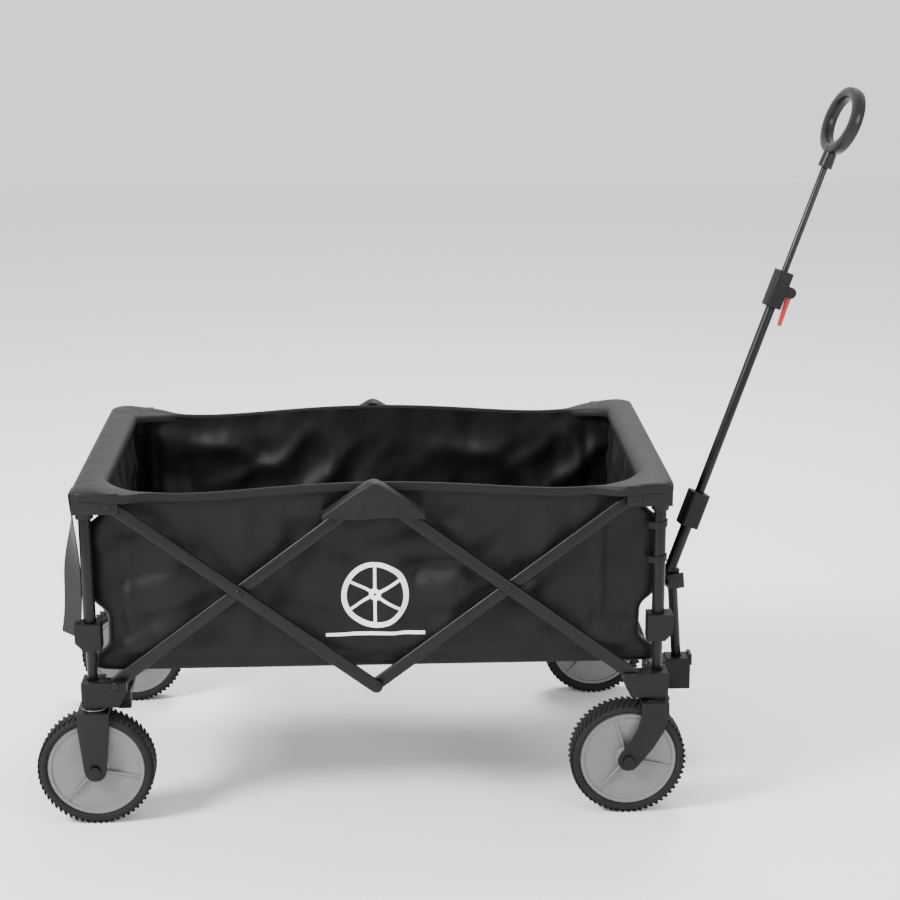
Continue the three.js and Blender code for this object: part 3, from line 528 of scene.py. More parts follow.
grey_abs.node_tree.links.new(abs_gloss.outputs[0], grey_abs_shader.inputs["Roughness"])
grey_abs.node_tree.links.new(abs_bump.outputs[0], grey_abs_shader.inputs["Normal"])

eva_rubber, rubber_shader = new_material("EVA rubber, foamed and moulded")
# Closed-cell foam skin: dull charcoal with tiny pits.
rubber_place = add_node(eva_rubber, "ShaderNodeTexCoord").outputs["Object"]
rubber_pits = add_node(
    eva_rubber, "ShaderNodeTexNoise", Vector=rubber_place, Scale=1 / (1.1 * MM), Detail=4.0)
rubber_scuff = add_node(
    eva_rubber, "ShaderNodeTexNoise", Vector=rubber_place, Scale=1 / (22 * MM), Detail=6.0)
rubber_tone = add_node(
    eva_rubber, "ShaderNodeMix", {"data_type": "RGBA"}, Factor=rubber_scuff.outputs["Fac"],
    _6=hex_colour("#141414"), _7=hex_colour("#222121"))
rubber_bump = add_node(
    eva_rubber, "ShaderNodeBump", Height=rubber_pits.outputs["Fac"], Strength=0.35, Distance=0.2 * MM)
eva_rubber.node_tree.links.new(rubber_tone.outputs[2], rubber_shader.inputs["Base Color"])
eva_rubber.node_tree.links.new(rubber_bump.outputs[0], rubber_shader.inputs["Normal"])
rubber_shader.inputs["Roughness"].default_value = 0.78
rubber_shader.inputs["Specular IOR Level"].default_value = 0.2


def spun(profile, steps):
    """A closed profile of (radius, width) turned about Y through the origin."""
    start_clean()
    mesh = bpy.data.meshes.new("spun")
    mesh.from_pydata([(r, y, 0) for r, y in profile], [(i, (i + 1) % len(profile))
                     for i in range(len(profile))], [])
    piece = bpy.data.objects.new("spun", mesh)
    bpy.context.scene.collection.objects.link(piece)
    select_only(piece)
    bpy.ops.object.mode_set(mode="EDIT")
    bpy.ops.mesh.select_all(action="SELECT")
    bpy.ops.mesh.spin(steps=steps, angle=2 * math.pi, center=(0, 0, 0), axis=(0, 1, 0))
    bpy.ops.mesh.select_all(action="SELECT")
    bpy.ops.mesh.remove_doubles(threshold=1e-6)
    bpy.ops.mesh.normals_make_consistent(inside=False)
    bpy.ops.object.mode_set(mode="OBJECT")
    return piece


def joined(pieces):
    start_clean()
    for piece in pieces:
        piece.select_set(True)
    bpy.context.view_layer.objects.active = pieces[0]
    bpy.ops.object.join()
    return bpy.context.object


tread_count = 60
tread_depth = 1.1 * MM
bead = hub_radius + 0.4 * MM
carcass = wheel_radius - tread_depth
tyre_profile = [
    (bead, tyre_half - 4.5 * MM), (bead + 1.5 * MM, tyre_half - 1.2 * MM),
    (bead + 4 * MM, tyre_half - 0.2 * MM), (bead + 7 * MM, tyre_half - 0.1 * MM),
    (carcass - 3.5 * MM, tyre_half - 2 * MM), (carcass - 1 * MM, tyre_half - 5.5 * MM),
    (carcass - 0.2 * MM, tyre_half - 10 * MM), (carcass, 5 * MM),
]
tyre_profile += [(r, -y) for r, y in reversed(tyre_profile)]
tyre_master = spun(tyre_profile, 96)
bpy.ops.object.shade_smooth_by_angle(angle=math.radians(50))
treads = []
for face_sign in (1, -1):
    start_clean()
    bpy.ops.mesh.primitive_cube_add(size=1)
    tread = bpy.context.object
    tread.scale = (2 * tread_depth, tyre_half * 0.86, 4.6 * MM)
    bpy.ops.object.transform_apply(scale=True)
    bpy.ops.object.mode_set(mode="EDIT")
    mesh = bmesh.from_edit_mesh(tread.data)
    for face in mesh.faces:
        face.select_set(face.normal.y * face_sign > 0.9)
    bmesh.update_edit_mesh(tread.data)
    bpy.ops.transform.translate(value=(-2.6 * MM, 0, 0))
    bpy.ops.mesh.extrude_region_move(
        TRANSFORM_OT_translate={"value": (-4.6 * MM, 1.2 * MM * face_sign, 0)})
    bpy.ops.object.mode_set(mode="OBJECT")
    tread.rotation_euler.x = math.radians(24) * face_sign
    tread.location = (wheel_radius - tread_depth, tyre_half * 0.52 * face_sign, 0)
    soften(tread, 0.5 * MM, 1)
    for k in range(tread_count):
        turn_by = 2 * math.pi * (k + (0.5 if face_sign > 0 else 0)) / tread_count
        bar = tread.copy()
        bar.data = tread.data.copy()
        bar.data.transform(Matrix.Rotation(turn_by, 4, "Y"))
        bpy.context.scene.collection.objects.link(bar)
        treads.append(bar)
    bpy.data.objects.remove(tread)
tyre_master = joined([tyre_master] + treads)

dish = tyre_half - 4.5 * MM
hub_profile = [
    (5.4 * MM, hub_half), (13 * MM, hub_half), (15.5 * MM, hub_half - 1.4 * MM),
    (16.5 * MM, dish - 3.5 * MM), (19 * MM, dish - 5 * MM), (34 * MM, dish - 4.4 * MM),
    (52 * MM, dish - 2.4 * MM), (64 * MM, dish - 1.2 * MM), (66 * MM, dish - 1.6 * MM),
    (67.4 * MM, dish - 1.2 * MM), (68.4 * MM, dish + 0.8 * MM), (hub_radius - 1.4 * MM, dish + 1.3 * MM),
    (hub_radius, dish),
]
hub_profile += [(r, -y) for r, y in reversed(hub_profile)]
hub_master = spun(hub_profile, 96)
bpy.ops.object.shade_smooth_by_angle(angle=math.radians(32))
ribs = []
first_rib = math.radians(-12)
for face_sign in (1, -1):
    start_clean()
    bpy.ops.mesh.primitive_cube_add(size=1)
    rib = bpy.context.object
    rib.scale = (54 * MM, 7 * MM, 3 * MM)
    rib.location = (41.5 * MM, (dish - 2.6 * MM) * face_sign, 0)
    soften(rib, 1.0 * MM, 3)
    for k in range(3):
        angle = first_rib + 2 * math.pi * k / 3
        spoke = rib.copy()
        spoke.data = rib.data.copy()
        spoke.data.transform(Matrix.Rotation(-angle, 4, "Y"))
        bpy.context.scene.collection.objects.link(spoke)
        ribs.append(spoke)
    bpy.data.objects.remove(rib)
hub_master = joined([hub_master] + ribs)

for corner in corner_names:
    low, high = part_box(f"{corner}_tyre")
    centre = (low + high) / 2
    for master, part, slot, material in (
        (tyre_master, "tyre", "tyre", eva_rubber),
        (hub_master, "hub", "hub", grey_abs),
    ):
        piece = master.copy()
        piece.data = master.data.copy()
        piece.data.transform(Matrix.Translation(centre))
        bpy.context.scene.collection.objects.link(piece)
        node = f"{corner}_{part}"
        fit(piece, f"{node}_moulding", slot, material, body_of_node[node], node)
bpy.data.objects.remove(tyre_master)
bpy.data.objects.remove(hub_master)

# ---- Pull handle: foot bracket, steering stem, telescoping pole, latch and ring grip ----
# Steel tube in black coat; the thin upper pole is left a greyer satin. Foot, collar, latch and
# grip are moulded. A red cam lever locks the upper pole.
tilt_joint = next(j for j in frame["joints"] if j["name"] == "handle_tilt")
slide_joint = next(j for j in frame["joints"] if j["name"] == "upper_pole_slide")
knuckle = Vector(tilt_joint["pos_m"])
across = Vector(tilt_joint["axis"]).normalized()
pole_up = -Vector(slide_joint["axis"]).normalized()
ahead = across.cross(pole_up).normalized()
pole_set = Matrix((
    (ahead.x, across.x, pole_up.x, knuckle.x),
    (ahead.y, across.y, pole_up.y, knuckle.y),
    (ahead.z, across.z, pole_up.z, knuckle.z),
    (0, 0, 0, 1),
))
pole_axis_x = -8 * MM

for node, width in (
    ("handle_foot_bracket", 2.4 * MM),
    ("handle_pole_collar", 2.4 * MM),
    ("handle_latch", 1.4 * MM),
):
    shell = finished_copy(node, width, 3)
    fit(shell, f"{node}_shell", "black_plastic", black_nylon, body_of_node[node], node)
for node in ("handle_stem", "handle_lower_pole"):
    shell = finished_copy(node, 0.6 * MM, 2)
    fit(shell, f"{node}_tube", "black_steel", black_coat, body_of_node[node], node)

middle_pole = tube_between(
    pole_set @ Vector((pole_axis_x, 0, 60 * MM)), pole_set @ Vector((pole_axis_x, 0, 505 * MM)),
    7.75 * MM, 1.2 * MM)
fit(middle_pole, "handle_middle_pole_tube", "black_steel", black_coat, "pole", "handle_middle_pole")

grey_coat, grey_coat_shader = new_material("Mild steel, dark satin lacquer")
# Thin clear-black lacquer on drawn tube: the metal shows through as a grey sheen along it.
grey_place = add_node(grey_coat, "ShaderNodeTexCoord").outputs["Object"]
grey_cloud = add_node(
    grey_coat, "ShaderNodeTexNoise", Vector=grey_place, Scale=1 / (9 * MM), Detail=4.0)
grey_tone = add_node(
    grey_coat, "ShaderNodeMix", {"data_type": "RGBA"}, Factor=grey_cloud.outputs["Fac"],
    _6=hex_colour("#1f1f21"), _7=hex_colour("#2e2e30"))
grey_coat.node_tree.links.new(grey_tone.outputs[2], grey_coat_shader.inputs["Base Color"])
grey_coat_shader.inputs["Metallic"].default_value = 0.7
grey_coat_shader.inputs["Roughness"].default_value = 0.34

upper_pole = tube_between(
    pole_set @ Vector((pole_axis_x, 0, 330 * MM)), pole_set @ Vector((pole_axis_x, 0, 714 * MM)),
    5.3 * MM, 1.0 * MM)
fit(upper_pole, "handle_upper_pole_tube", "black_steel", grey_coat, "upper_pole", "handle_upper_pole")

red_abs, red_abs_shader = new_material("ABS, moulded red")
# Bright signal red, half gloss, so that the lock is easy to find.
red_place = add_node(red_abs, "ShaderNodeTexCoord").outputs["Object"]
red_grain = add_node(red_abs, "ShaderNodeTexNoise", Vector=red_place, Scale=1 / (1.2 * MM), Detail=2.0)
red_tone = add_node(
    red_abs, "ShaderNodeMix", {"data_type": "RGBA"}, Factor=red_grain.outputs["Fac"],
    _6=hex_colour("#b8000f"), _7=hex_colour("#c8081c"))
red_bump = add_node(
    red_abs, "ShaderNodeBump", Height=red_grain.outputs["Fac"], Strength=0.1, Distance=0.05 * MM)
red_abs.node_tree.links.new(red_tone.outputs[2], red_abs_shader.inputs["Base Color"])
red_abs.node_tree.links.new(red_bump.outputs[0], red_abs_shader.inputs["Normal"])
red_abs_shader.inputs["Roughness"].default_value = 0.36
red_abs_shader.inputs["Specular IOR Level"].default_value = 0.25
lever = finished_copy("handle_latch_lever", 1.0 * MM, 3)
fit(lever, "handle_latch_lever_moulding", "red_plastic", red_abs, "latch_lever", "handle_latch_lever")

grip_nylon, grip_shader = new_material("Polypropylene, moulded charcoal")
# Smooth polished mould: charcoal with a soft clear highlight.
grip_place = add_node(grip_nylon, "ShaderNodeTexCoord").outputs["Object"]
grip_cloud = add_node(
    grip_nylon, "ShaderNodeTexNoise", Vector=grip_place, Scale=1 / (14 * MM), Detail=4.0)
grip_tone = add_node(
    grip_nylon, "ShaderNodeMix", {"data_type": "RGBA"}, Factor=grip_cloud.outputs["Fac"],
    _6=hex_colour("#131315"), _7=hex_colour("#1c1c1f"))
grip_nylon.node_tree.links.new(grip_tone.outputs[2], grip_shader.inputs["Base Color"])
grip_shader.inputs["Roughness"].default_value = 0.3
grip_shader.inputs["Specular IOR Level"].default_value = 0.3
start_clean()
ring_centre = 778 * MM
bpy.ops.mesh.primitive_torus_add(
    major_segments=96, minor_segments=32, major_radius=1, minor_radius=0.2)
loop = bpy.context.object
for vertex in loop.data.vertices:
    around = math.atan2(vertex.co.y, vertex.co.x)
    band = (math.hypot(vertex.co.x, vertex.co.y) - 1) / 0.2
    depth = vertex.co.z / 0.2
    # The band is a rounded rectangle in section, flatter on its faces than a plain round.
    squared = max(abs(band), abs(depth), 1e-6) / math.hypot(band, depth)
    fullness = 1 + 0.16 * (1 / squared - 1) / (math.sqrt(2) - 1)
    vertex.co = (
        depth * fullness * 10.0 * MM + pole_axis_x,
        (48 * MM + band * fullness * 8.9 * MM) * math.cos(around),
        (46 * MM + band * fullness * 8.9 * MM) * math.sin(around) + ring_centre,
    )
bpy.ops.object.mode_set(mode="EDIT")
bpy.ops.mesh.select_all(action="SELECT")
bpy.ops.mesh.normals_make_consistent(inside=False)
bpy.ops.object.mode_set(mode="OBJECT")
start_clean()
neck_foot = 701 * MM
neck_top = ring_centre - 42 * MM
bpy.ops.mesh.primitive_cone_add(
    vertices=64, radius1=11.6 * MM, radius2=10.2 * MM, depth=neck_top - neck_foot,
    location=(pole_axis_x, 0, (neck_top + neck_foot) / 2))
neck = soften(bpy.context.object, 1.6 * MM, 4)
union = loop.modifiers.new("Neck", "BOOLEAN")
union.operation = "UNION"
union.object = neck
select_only(loop)
bpy.ops.object.modifier_apply(modifier=union.name)
bpy.data.objects.remove(neck)
loop.data.transform(pole_set)
select_only(loop)
bpy.ops.object.shade_smooth_by_angle(angle=math.radians(50))
fit(loop, "handle_ring_grip_moulding", "grip_plastic", grip_nylon, "upper_pole", "handle_ring_grip")

# ---- Fabric bin: a sewn tub of woven polyester that hangs from the rim ----
# One wrap of 600-denier polyester makes the four walls, with a floor sewn in. It hangs slack inside
# the scissor bars, so it wrinkles, and the spare width gathers into pleats in the inner corners.
bar_reach = high_centre_pivot - rear_low_pivot
open_angle = math.atan2(bar_reach.z, bar_reach.x)


def crumple(piece):
    """Gives the piece a mesh of its own."""
    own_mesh(piece)


wall_x = 407 * MM
wall_y = 233.5 * MM
floor_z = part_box("fabric_bin")[0].z + 1.6 * MM
seam_z = floor_z - 8 * MM
rim_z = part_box("fabric_bin")[1].z
corner_round = 14 * MM
cloth_pitch = 11 * MM


def ease(value):
    value = max(0.0, min(1.0, value))
    return value * value * (3 - 2 * value)


def rim_height(x):
    """The rim's height along a side: high at the corners and the middle, slack between."""
    share = min(abs(x) / wall_x, 1)
    return rim_z - 13 * MM * math.sin(math.pi * share ** 1.9)


def woven(name, dark, light, thread, sheen, ribbed=False):
    """Plain-woven yarn: warp and weft lines on the piece's own map, in metres."""
    material, shader = new_material(name)
    place = add_node(material, "ShaderNodeUVMap", {"uv_map": "cut"}).outputs["UV"]
    body_place = add_node(material, "ShaderNodeTexCoord").outputs["Object"]
    shade = add_node(material, "ShaderNodeTexNoise", Vector=body_place, Scale=1 / (70 * MM), Detail=4.0)
    fluff = add_node(material, "ShaderNodeTexNoise", Vector=place, Scale=1 / (2.2 * MM), Detail=2.0)
    lines = [
        add_node(
            material, "ShaderNodeTexWave", {"bands_direction": axis}, Vector=place,
            Scale=0.314 / thread, Distortion=0.6, Detail=1.0)
        for axis in (("X",) if ribbed else ("X", "Y"))
    ]
    weave = lines[0].outputs["Fac"]
    if not ribbed:
        weave = add_node(
            material, "ShaderNodeMath", {"operation": "MULTIPLY"},
            _0=weave, _1=lines[1].outputs["Fac"]).outputs[0]
    tone = add_node(
        material, "ShaderNodeMix", {"data_type": "RGBA"}, Factor=shade.outputs["Fac"],
        _6=hex_colour(dark), _7=hex_colour(light))
    rough = add_node(
        material, "ShaderNodeMapRange", Value=fluff.outputs["Fac"], To_Min=0.46, To_Max=0.6)
    bump = add_node(material, "ShaderNodeBump", Height=weave, Strength=0.3, Distance=0.25 * MM)
    material.node_tree.links.new(tone.outputs[2], shader.inputs["Base Color"])
    material.node_tree.links.new(rough.outputs[0], shader.inputs["Roughness"])
    material.node_tree.links.new(bump.outputs[0], shader.inputs["Normal"])
    shader.inputs["Specular IOR Level"].default_value = 0.19
    shader.inputs["Sheen Weight"].default_value = sheen
    shader.inputs["Sheen Roughness"].default_value = 0.45
    return material


# Tight plain weave in dope-dyed black, very slightly warm, with a soft sheen across its folds.
# The real thread is 0.6 mm; it is drawn 1.6 mm wide, so that it shows.
bin_polyester = woven("Polyester, woven 600 denier", "#0b090a", "#131011", 1.6 * MM, 0.02)
# The hem tape is denser and lighter than the walls, with its ribs running across it.
hem_polyester = woven("Polyester, woven hem tape", "#0f0d0e", "#191718", 2.0 * MM, 0.02)
# Webbing is thick ribbed yarn, duller than the bin.
webbing_polyester = woven("Polyester webbing, ribbed", "#0e0d0e", "#171617", 2.2 * MM, 0.02, ribbed=True)


def sheet_from_grid(name, rows, closed, cut):
    """A quad mesh from rows of points, with a map in metres taken from cut(row, column)."""
    start_clean()
    columns = len(rows[0])
    vertices = [tuple(point) for row in rows for point in row]
    faces = []
    corners = []
    for r in range(len(rows) - 1):
        for c in range(columns if closed else columns - 1):
            after = (c + 1) % columns
            faces.append((r * columns + c, r * columns + after,
                          (r + 1) * columns + after, (r + 1) * columns + c))
            corners.append(((r, c), (r, c + 1), (r + 1, c + 1), (r + 1, c)))
    mesh = bpy.data.meshes.new(name)
    mesh.from_pydata(vertices, [], faces)
    chart = mesh.uv_layers.new(name="cut")
    for face, spots in zip(mesh.polygons, corners):
        for loop_index, spot in zip(face.loop_indices, spots):
            chart.data[loop_index].uv = cut(*spot)
    piece = bpy.data.objects.new(name, mesh)
    bpy.context.scene.collection.objects.link(piece)
    return piece


def thicken(piece, thickness, offset=0.0, smooth=1):
    """Smooths a sheet and gives it its cloth's thickness."""
    select_only(piece)
    if smooth:
        finer = piece.modifiers.new("Smooth cloth", "SUBSURF")
        finer.levels = smooth
        finer.render_levels = smooth
    shell = piece.modifiers.new("Cloth thickness", "SOLIDIFY")
    shell.thickness = thickness
    shell.offset = offset
    settle(piece)
    bpy.ops.object.shade_smooth_by_angle(angle=math.radians(60))
    return piece


# The wall's plan: a rectangle with rounded corners, walked once at an even pace.
straight_x = wall_x - corner_round
straight_y = wall_y - corner_round
quarter_arc = corner_round * math.pi / 2
plan_legs = [
    (2 * straight_x, lambda s: (s - straight_x, -wall_y)),
    (quarter_arc, lambda s: (straight_x + corner_round * math.sin(s / corner_round),
                             -straight_y - corner_round * math.cos(s / corner_round))),
    (2 * straight_y, lambda s: (wall_x, s - straight_y)),
    (quarter_arc, lambda s: (straight_x + corner_round * math.cos(s / corner_round),
                             straight_y + corner_round * math.sin(s / corner_round))),
    (2 * straight_x, lambda s: (straight_x - s, wall_y)),
    (quarter_arc, lambda s: (-straight_x - corner_round * math.sin(s / corner_round),
                             straight_y + corner_round * math.cos(s / corner_round))),
    (2 * straight_y, lambda s: (-wall_x, straight_y - s)),
    (quarter_arc, lambda s: (-straight_x - corner_round * math.cos(s / corner_round),
                             -straight_y - corner_round * math.sin(s / corner_round))),
]
girth = sum(length for length, _ in plan_legs)
column_count = round(girth / cloth_pitch)
plan = []
for column in range(column_count):
    walked = girth * column / column_count
    for length, place in plan_legs:
        if walked <= length:
            plan.append(place(walked))
            break
        walked -= length

crease_sets = (  # direction in degrees, spacing, depth, start: folds that the bars' pull draws in the walls
    (30, 72 * MM, 13 * MM, 0.4), (-31, 104 * MM, 9 * MM, 1.9), (14, 118 * MM, 8 * MM, 0.9),
    (58, 66 * MM, 6 * MM, 2.6), (-66, 84 * MM, 5 * MM, 0.2),
)
pleat_spacing = 25 * MM
pleat_depth = 12 * MM
pleated_length = 105 * MM


def crease_depth(x, z):
    """How far the wall is drawn in: sharp-backed folds that wander and die out."""
    depth = 0
    for degrees, spacing, deep, start in crease_sets:
        a = math.radians(degrees)
        along = x * math.cos(a) + z * math.sin(a)
        across = -x * math.sin(a) + z * math.cos(a)
        wander = 0.7 * math.sin(along / (60 * MM) + start * 3)
        ridge = (1 - abs(math.sin(math.pi * across / spacing + start + wander))) ** 1.6
        depth += deep * ridge * (0.5 + 0.5 * math.sin(along / (75 * MM) + start * 5))
    return depth


def corner_pleats(from_corner):
    """How far the spare width folds in, at a distance along a wall from its corner."""
    near = ease(1 - from_corner / pleated_length) * ease(from_corner / (10 * MM))
    return pleat_depth * near * (1 - abs(math.cos(math.pi * from_corner / pleat_spacing))) ** 0.8


wall_rows = round((rim_z - floor_z) / cloth_pitch)
floor_rows = 16
fabric_chance = np.random.default_rng(7)
rows = []
for row in range(wall_rows + 1):
    share = row / wall_rows
    ring = []
    for x, y in plan:
        top = rim_height(x) - 2 * MM
        height = top + (seam_z - top) * share
        slack = math.sin(math.pi * share)
        share_left = 1 - share
        # The spare width is drawn in as pleats in the corners.
        corner_near = max(0, (abs(x) - 0.8 * wall_x) / (0.2 * wall_x))
        corner_near *= max(0, (abs(y) - 120 * MM) / wall_y)
        pleat = 9 * MM * corner_near * math.cos(y / (9 * MM) + x / (11 * MM))
        above_boards = ease((share_left - 0.07) / 0.12)
        inwards = slack * (fabric_chance.normal(0, 0.8 * MM) + pleat) * above_boards
        nx, ny = (abs(x) >= straight_x) * np.sign(x), (abs(y) >= straight_y) * np.sign(y)
        size = math.hypot(nx, ny) or 1
        ring.append((middle_x + x - nx / size * inwards, y - ny / size * inwards, height))
    rows.append(ring)
for row in range(1, floor_rows + 1):
    # The floor closes on a line along its middle, as the panel's rows shrink towards it.
    share = row / floor_rows
    lifted = floor_z + (seam_z - floor_z) * math.exp(-(share * wall_y / (22 * MM)) ** 2)
    spine = wall_x - wall_y
    rows.append([
        (middle_x + x + (max(-spine, min(spine, x)) - x) * share, y * (1 - share), lifted)
        for x, y in plan
    ])
bin_cloth = sheet_from_grid(
    "fabric_bin_tub", rows, True,
    lambda r, c: (girth * c / column_count, (rim_z - floor_z) * r / wall_rows))
select_only(bin_cloth)
bpy.ops.object.mode_set(mode="EDIT")
bpy.ops.mesh.select_all(action="SELECT")
bpy.ops.mesh.remove_doubles(threshold=0.2 * MM)
bpy.ops.object.mode_set(mode="OBJECT")
started_at = [v.co.copy() for v in bin_cloth.data.vertices]
held = bin_cloth.vertex_groups.new(name="held")
held.add([v.index for v in bin_cloth.data.vertices
          if v.co.z > rim_height(v.co.x - middle_x) - 4 * MM or v.co.z < floor_z + 2 * MM], 1.0, "ADD")
cloth = bin_cloth.modifiers.new("Hang", "CLOTH")
cloth.settings.quality = 6
cloth.settings.mass = 0.3
cloth.settings.tension_stiffness = 15
cloth.settings.compression_stiffness = 15
cloth.settings.shear_stiffness = 5
cloth.settings.bending_stiffness = 4
cloth.settings.shrink_min = -0.022
cloth.settings.vertex_group_mass = "held"
for moment in range(1, 27):
    bpy.context.scene.frame_set(moment)
select_only(bin_cloth)
bpy.ops.object.modifier_apply(modifier="Hang")
bpy.context.scene.frame_set(1)
furthest = 12 * MM
board_clear_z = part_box("floor_boards")[1].z + 6 * MM
bars_inside = 239.5 * MM
posts_inside = 410 * MM
corner_reach = 24 * MM
corner_cloth = 150 * MM
corner_fade = 70 * MM
seam_margin = 4 * MM
collar_clearance = 6 * MM
collar_fade = 14 * MM
bracket_clearance = 4 * MM
bracket_fade = 12 * MM
collar_low, collar_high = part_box("rear_left_post_collar")
bracket_low_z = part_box("rear_left_upper_bracket")[0].z
for vertex, start in zip(bin_cloth.data.vertices, started_at):
    moved = vertex.co - start
    if moved.length > furthest:
        vertex.co = start + moved.normalized() * furthest
    x, y, z = vertex.co.x - middle_x, vertex.co.y, vertex.co.z
    free = ease((rim_height(x) - 6 * MM - z) / (70 * MM)) * ease((z - board_clear_z) / (60 * MM))
    if abs(start.y) > straight_y and abs(x) < straight_x - seam_margin:
        folds = crease_depth(x + 1.7 * y, z) + corner_pleats(straight_x - abs(x))
        vertex.co.y -= math.copysign(folds * free, y)
    elif abs(start.x - middle_x) > straight_x and abs(y) < straight_y - seam_margin:
        folds = crease_depth(y - 0.9 * x, z) + corner_pleats(straight_y - abs(y))
        vertex.co.x -= math.copysign(folds * free, x)
    at_end = abs(start.x - middle_x) > straight_x - seam_margin
    at_side = abs(start.y) > straight_y - seam_margin
    if z < board_clear_z or (at_end and at_side):
        vertex.co = start
    # Above and below the collars the corner seams reach out to the posts.
    under_collar = ease((collar_low.z - collar_clearance - z) / collar_fade)
    over_collar = ease((z - collar_high.z - collar_clearance) / collar_fade)
    below_bracket = ease((bracket_low_z - bracket_clearance - z) / bracket_fade)
    reach = corner_reach * max(under_collar, over_collar) * below_bracket
    reach *= ease((abs(y) - corner_cloth) / corner_fade)
    if abs(x) > straight_x:
        vertex.co.x += math.copysign(reach, x)
    vertex.co.y = max(-bars_inside, min(bars_inside, vertex.co.y))
    furthest_x = posts_inside + reach
    vertex.co.x = max(middle_x - furthest_x, min(middle_x + furthest_x, vertex.co.x))
thicken(bin_cloth, 1.4 * MM)
fit(bin_cloth, "fabric_bin_tub", "bin_fabric", bin_polyester, "rear_upper_frame", "fabric_bin")
crumple(bin_cloth)

# ---- Rim: hem tape along the sides, padded covers over the end bars and corner brackets ----
# Doubled polyester, folded and stitched. Along a side it is a narrow hem; at the ends it
# widens into a cover that laps over the cross bar and the brackets. It is made in four pieces,
# so that each end cover stays on its own bar as the frame folds.
side_hem_in = 235.5 * MM
side_hem_out = 241 * MM
cover_end_in = 399 * MM
cover_end_out = 446.5 * MM
cover_side_out = 267 * MM
cover_start = 322 * MM
cover_full = 378 * MM
cover_corner_y = 192 * MM


def rim_quarter():
    """(inner point, outer point, how much it is a cover) from a side's middle to an end's middle."""
    steps = []
    for i in range(42):
        x = cover_start * i / 42
        steps.append(((x, side_hem_in), (x, side_hem_out), 0.0))
    corner = 16 * MM
    outer = []
    for i in range(14):
        x = cover_start + (cover_end_out - corner - cover_start) * i / 14
        bulge = ease((x - cover_start) / (cover_full - cover_start))
        outer.append((x, side_hem_out + (cover_side_out - side_hem_out) * bulge))
    for i in range(7):
        a = math.pi / 2 * i / 6
        outer.append((cover_end_out - corner + corner * math.sin(a),
                      cover_side_out - corner + corner * math.cos(a)))
    for i in range(1, 8):
        outer.append((cover_end_out, cover_side_out - corner
                      + (cover_corner_y - cover_side_out + corner) * i / 7))
    for i, point in enumerate(outer):
        t = i / (len(outer) - 1)
        bend = (379 * MM, 228 * MM)
        inner = tuple(a * (1 - t) ** 2 + b * 2 * t * (1 - t) + c * t * t for a, b, c in zip(
            (cover_start, side_hem_in), bend, (cover_end_in, cover_corner_y)))
        steps.append((inner, point, ease(i / 10)))
    for i in range(1, 19):
        y = cover_corner_y * (1 - i / 18)
        steps.append(((cover_end_in, y), (cover_end_out, y), 1.0))
    return steps


quarter = rim_quarter()
ring = [(i, o, w, 1, -1) for i, o, w in quarter]
ring += [(i, o, w, 1, 1) for i, o, w in reversed(quarter[:-1])]
ring += [(i, o, w, -1, 1) for i, o, w in quarter[1:]]
ring += [(i, o, w, -1, -1) for i, o, w in reversed(quarter[1:-1])]
section = (  # how far from the inner to the outer edge, drop of a hem, drop of a cover
    (0.0, 11, 13), (0.0, 3, 3.5), (0.12, 0.2, 0.6), (0.36, -1.0, -2.2), (0.66, -1.0, -2.4),
    (0.9, 0.2, 0.4), (1.0, 3, 3.6), (1.0, 7, 9), (1.0, 11, 14.5),
)
rim_chance = np.random.default_rng(11)
pucker = rim_chance.normal(0, 1, len(ring))
pucker = (np.roll(pucker, 1) + pucker + np.roll(pucker, -1)) / 3
rim_rows = []
for across_share, hem_drop, cover_drop in section:
    line = []
    for (inner, outer, cover, sx, sy), lift in zip(ring, pucker):
        x = (inner[0] + (outer[0] - inner[0]) * across_share) * sx
        y = (inner[1] + (outer[1] - inner[1]) * across_share) * sy
        drop = (hem_drop + (cover_drop - hem_drop) * cover) * MM
        puffed = 0.7 * MM * lift * math.sin(math.pi * across_share) * cover
        line.append((middle_x + x, y, rim_height(x) + 0.5 * MM - drop + puffed))
    rim_rows.append(line)
hem_steps = 42
half_ring = len(ring) // 2
rim_parts = (  # name, first and last step round the rim, what it is fixed to, whether it gathers
    ("front_rim_cover", hem_steps, half_ring - hem_steps, "front_upper", False),
    ("left_rim_hem", half_ring - hem_steps, half_ring + hem_steps, "rear_upper", True),
    ("rear_rim_cover", half_ring + hem_steps, 2 * half_ring - hem_steps, "rear_upper", False),
    ("right_rim_hem", 2 * half_ring - hem_steps, 2 * half_ring + hem_steps, "rear_upper", True),
)
for name, first, last, fixed_to, gathers in rim_parts:
    steps = [step % len(ring) for step in range(first, last + 1)]
    rim = sheet_from_grid(
        name, [[line[k] for k in steps] for line in rim_rows], False,
        lambda r, c: (c * 8 * MM, r * 6 * MM))
    spine = [rim_rows[len(section) // 2][k] for k in steps]
    thicken(rim, 1.8 * MM, offset=0.6)
    fit(rim, name, "bin_fabric", hem_polyester, f"{fixed_to}_frame")
    if gathers:
        crumple(rim)

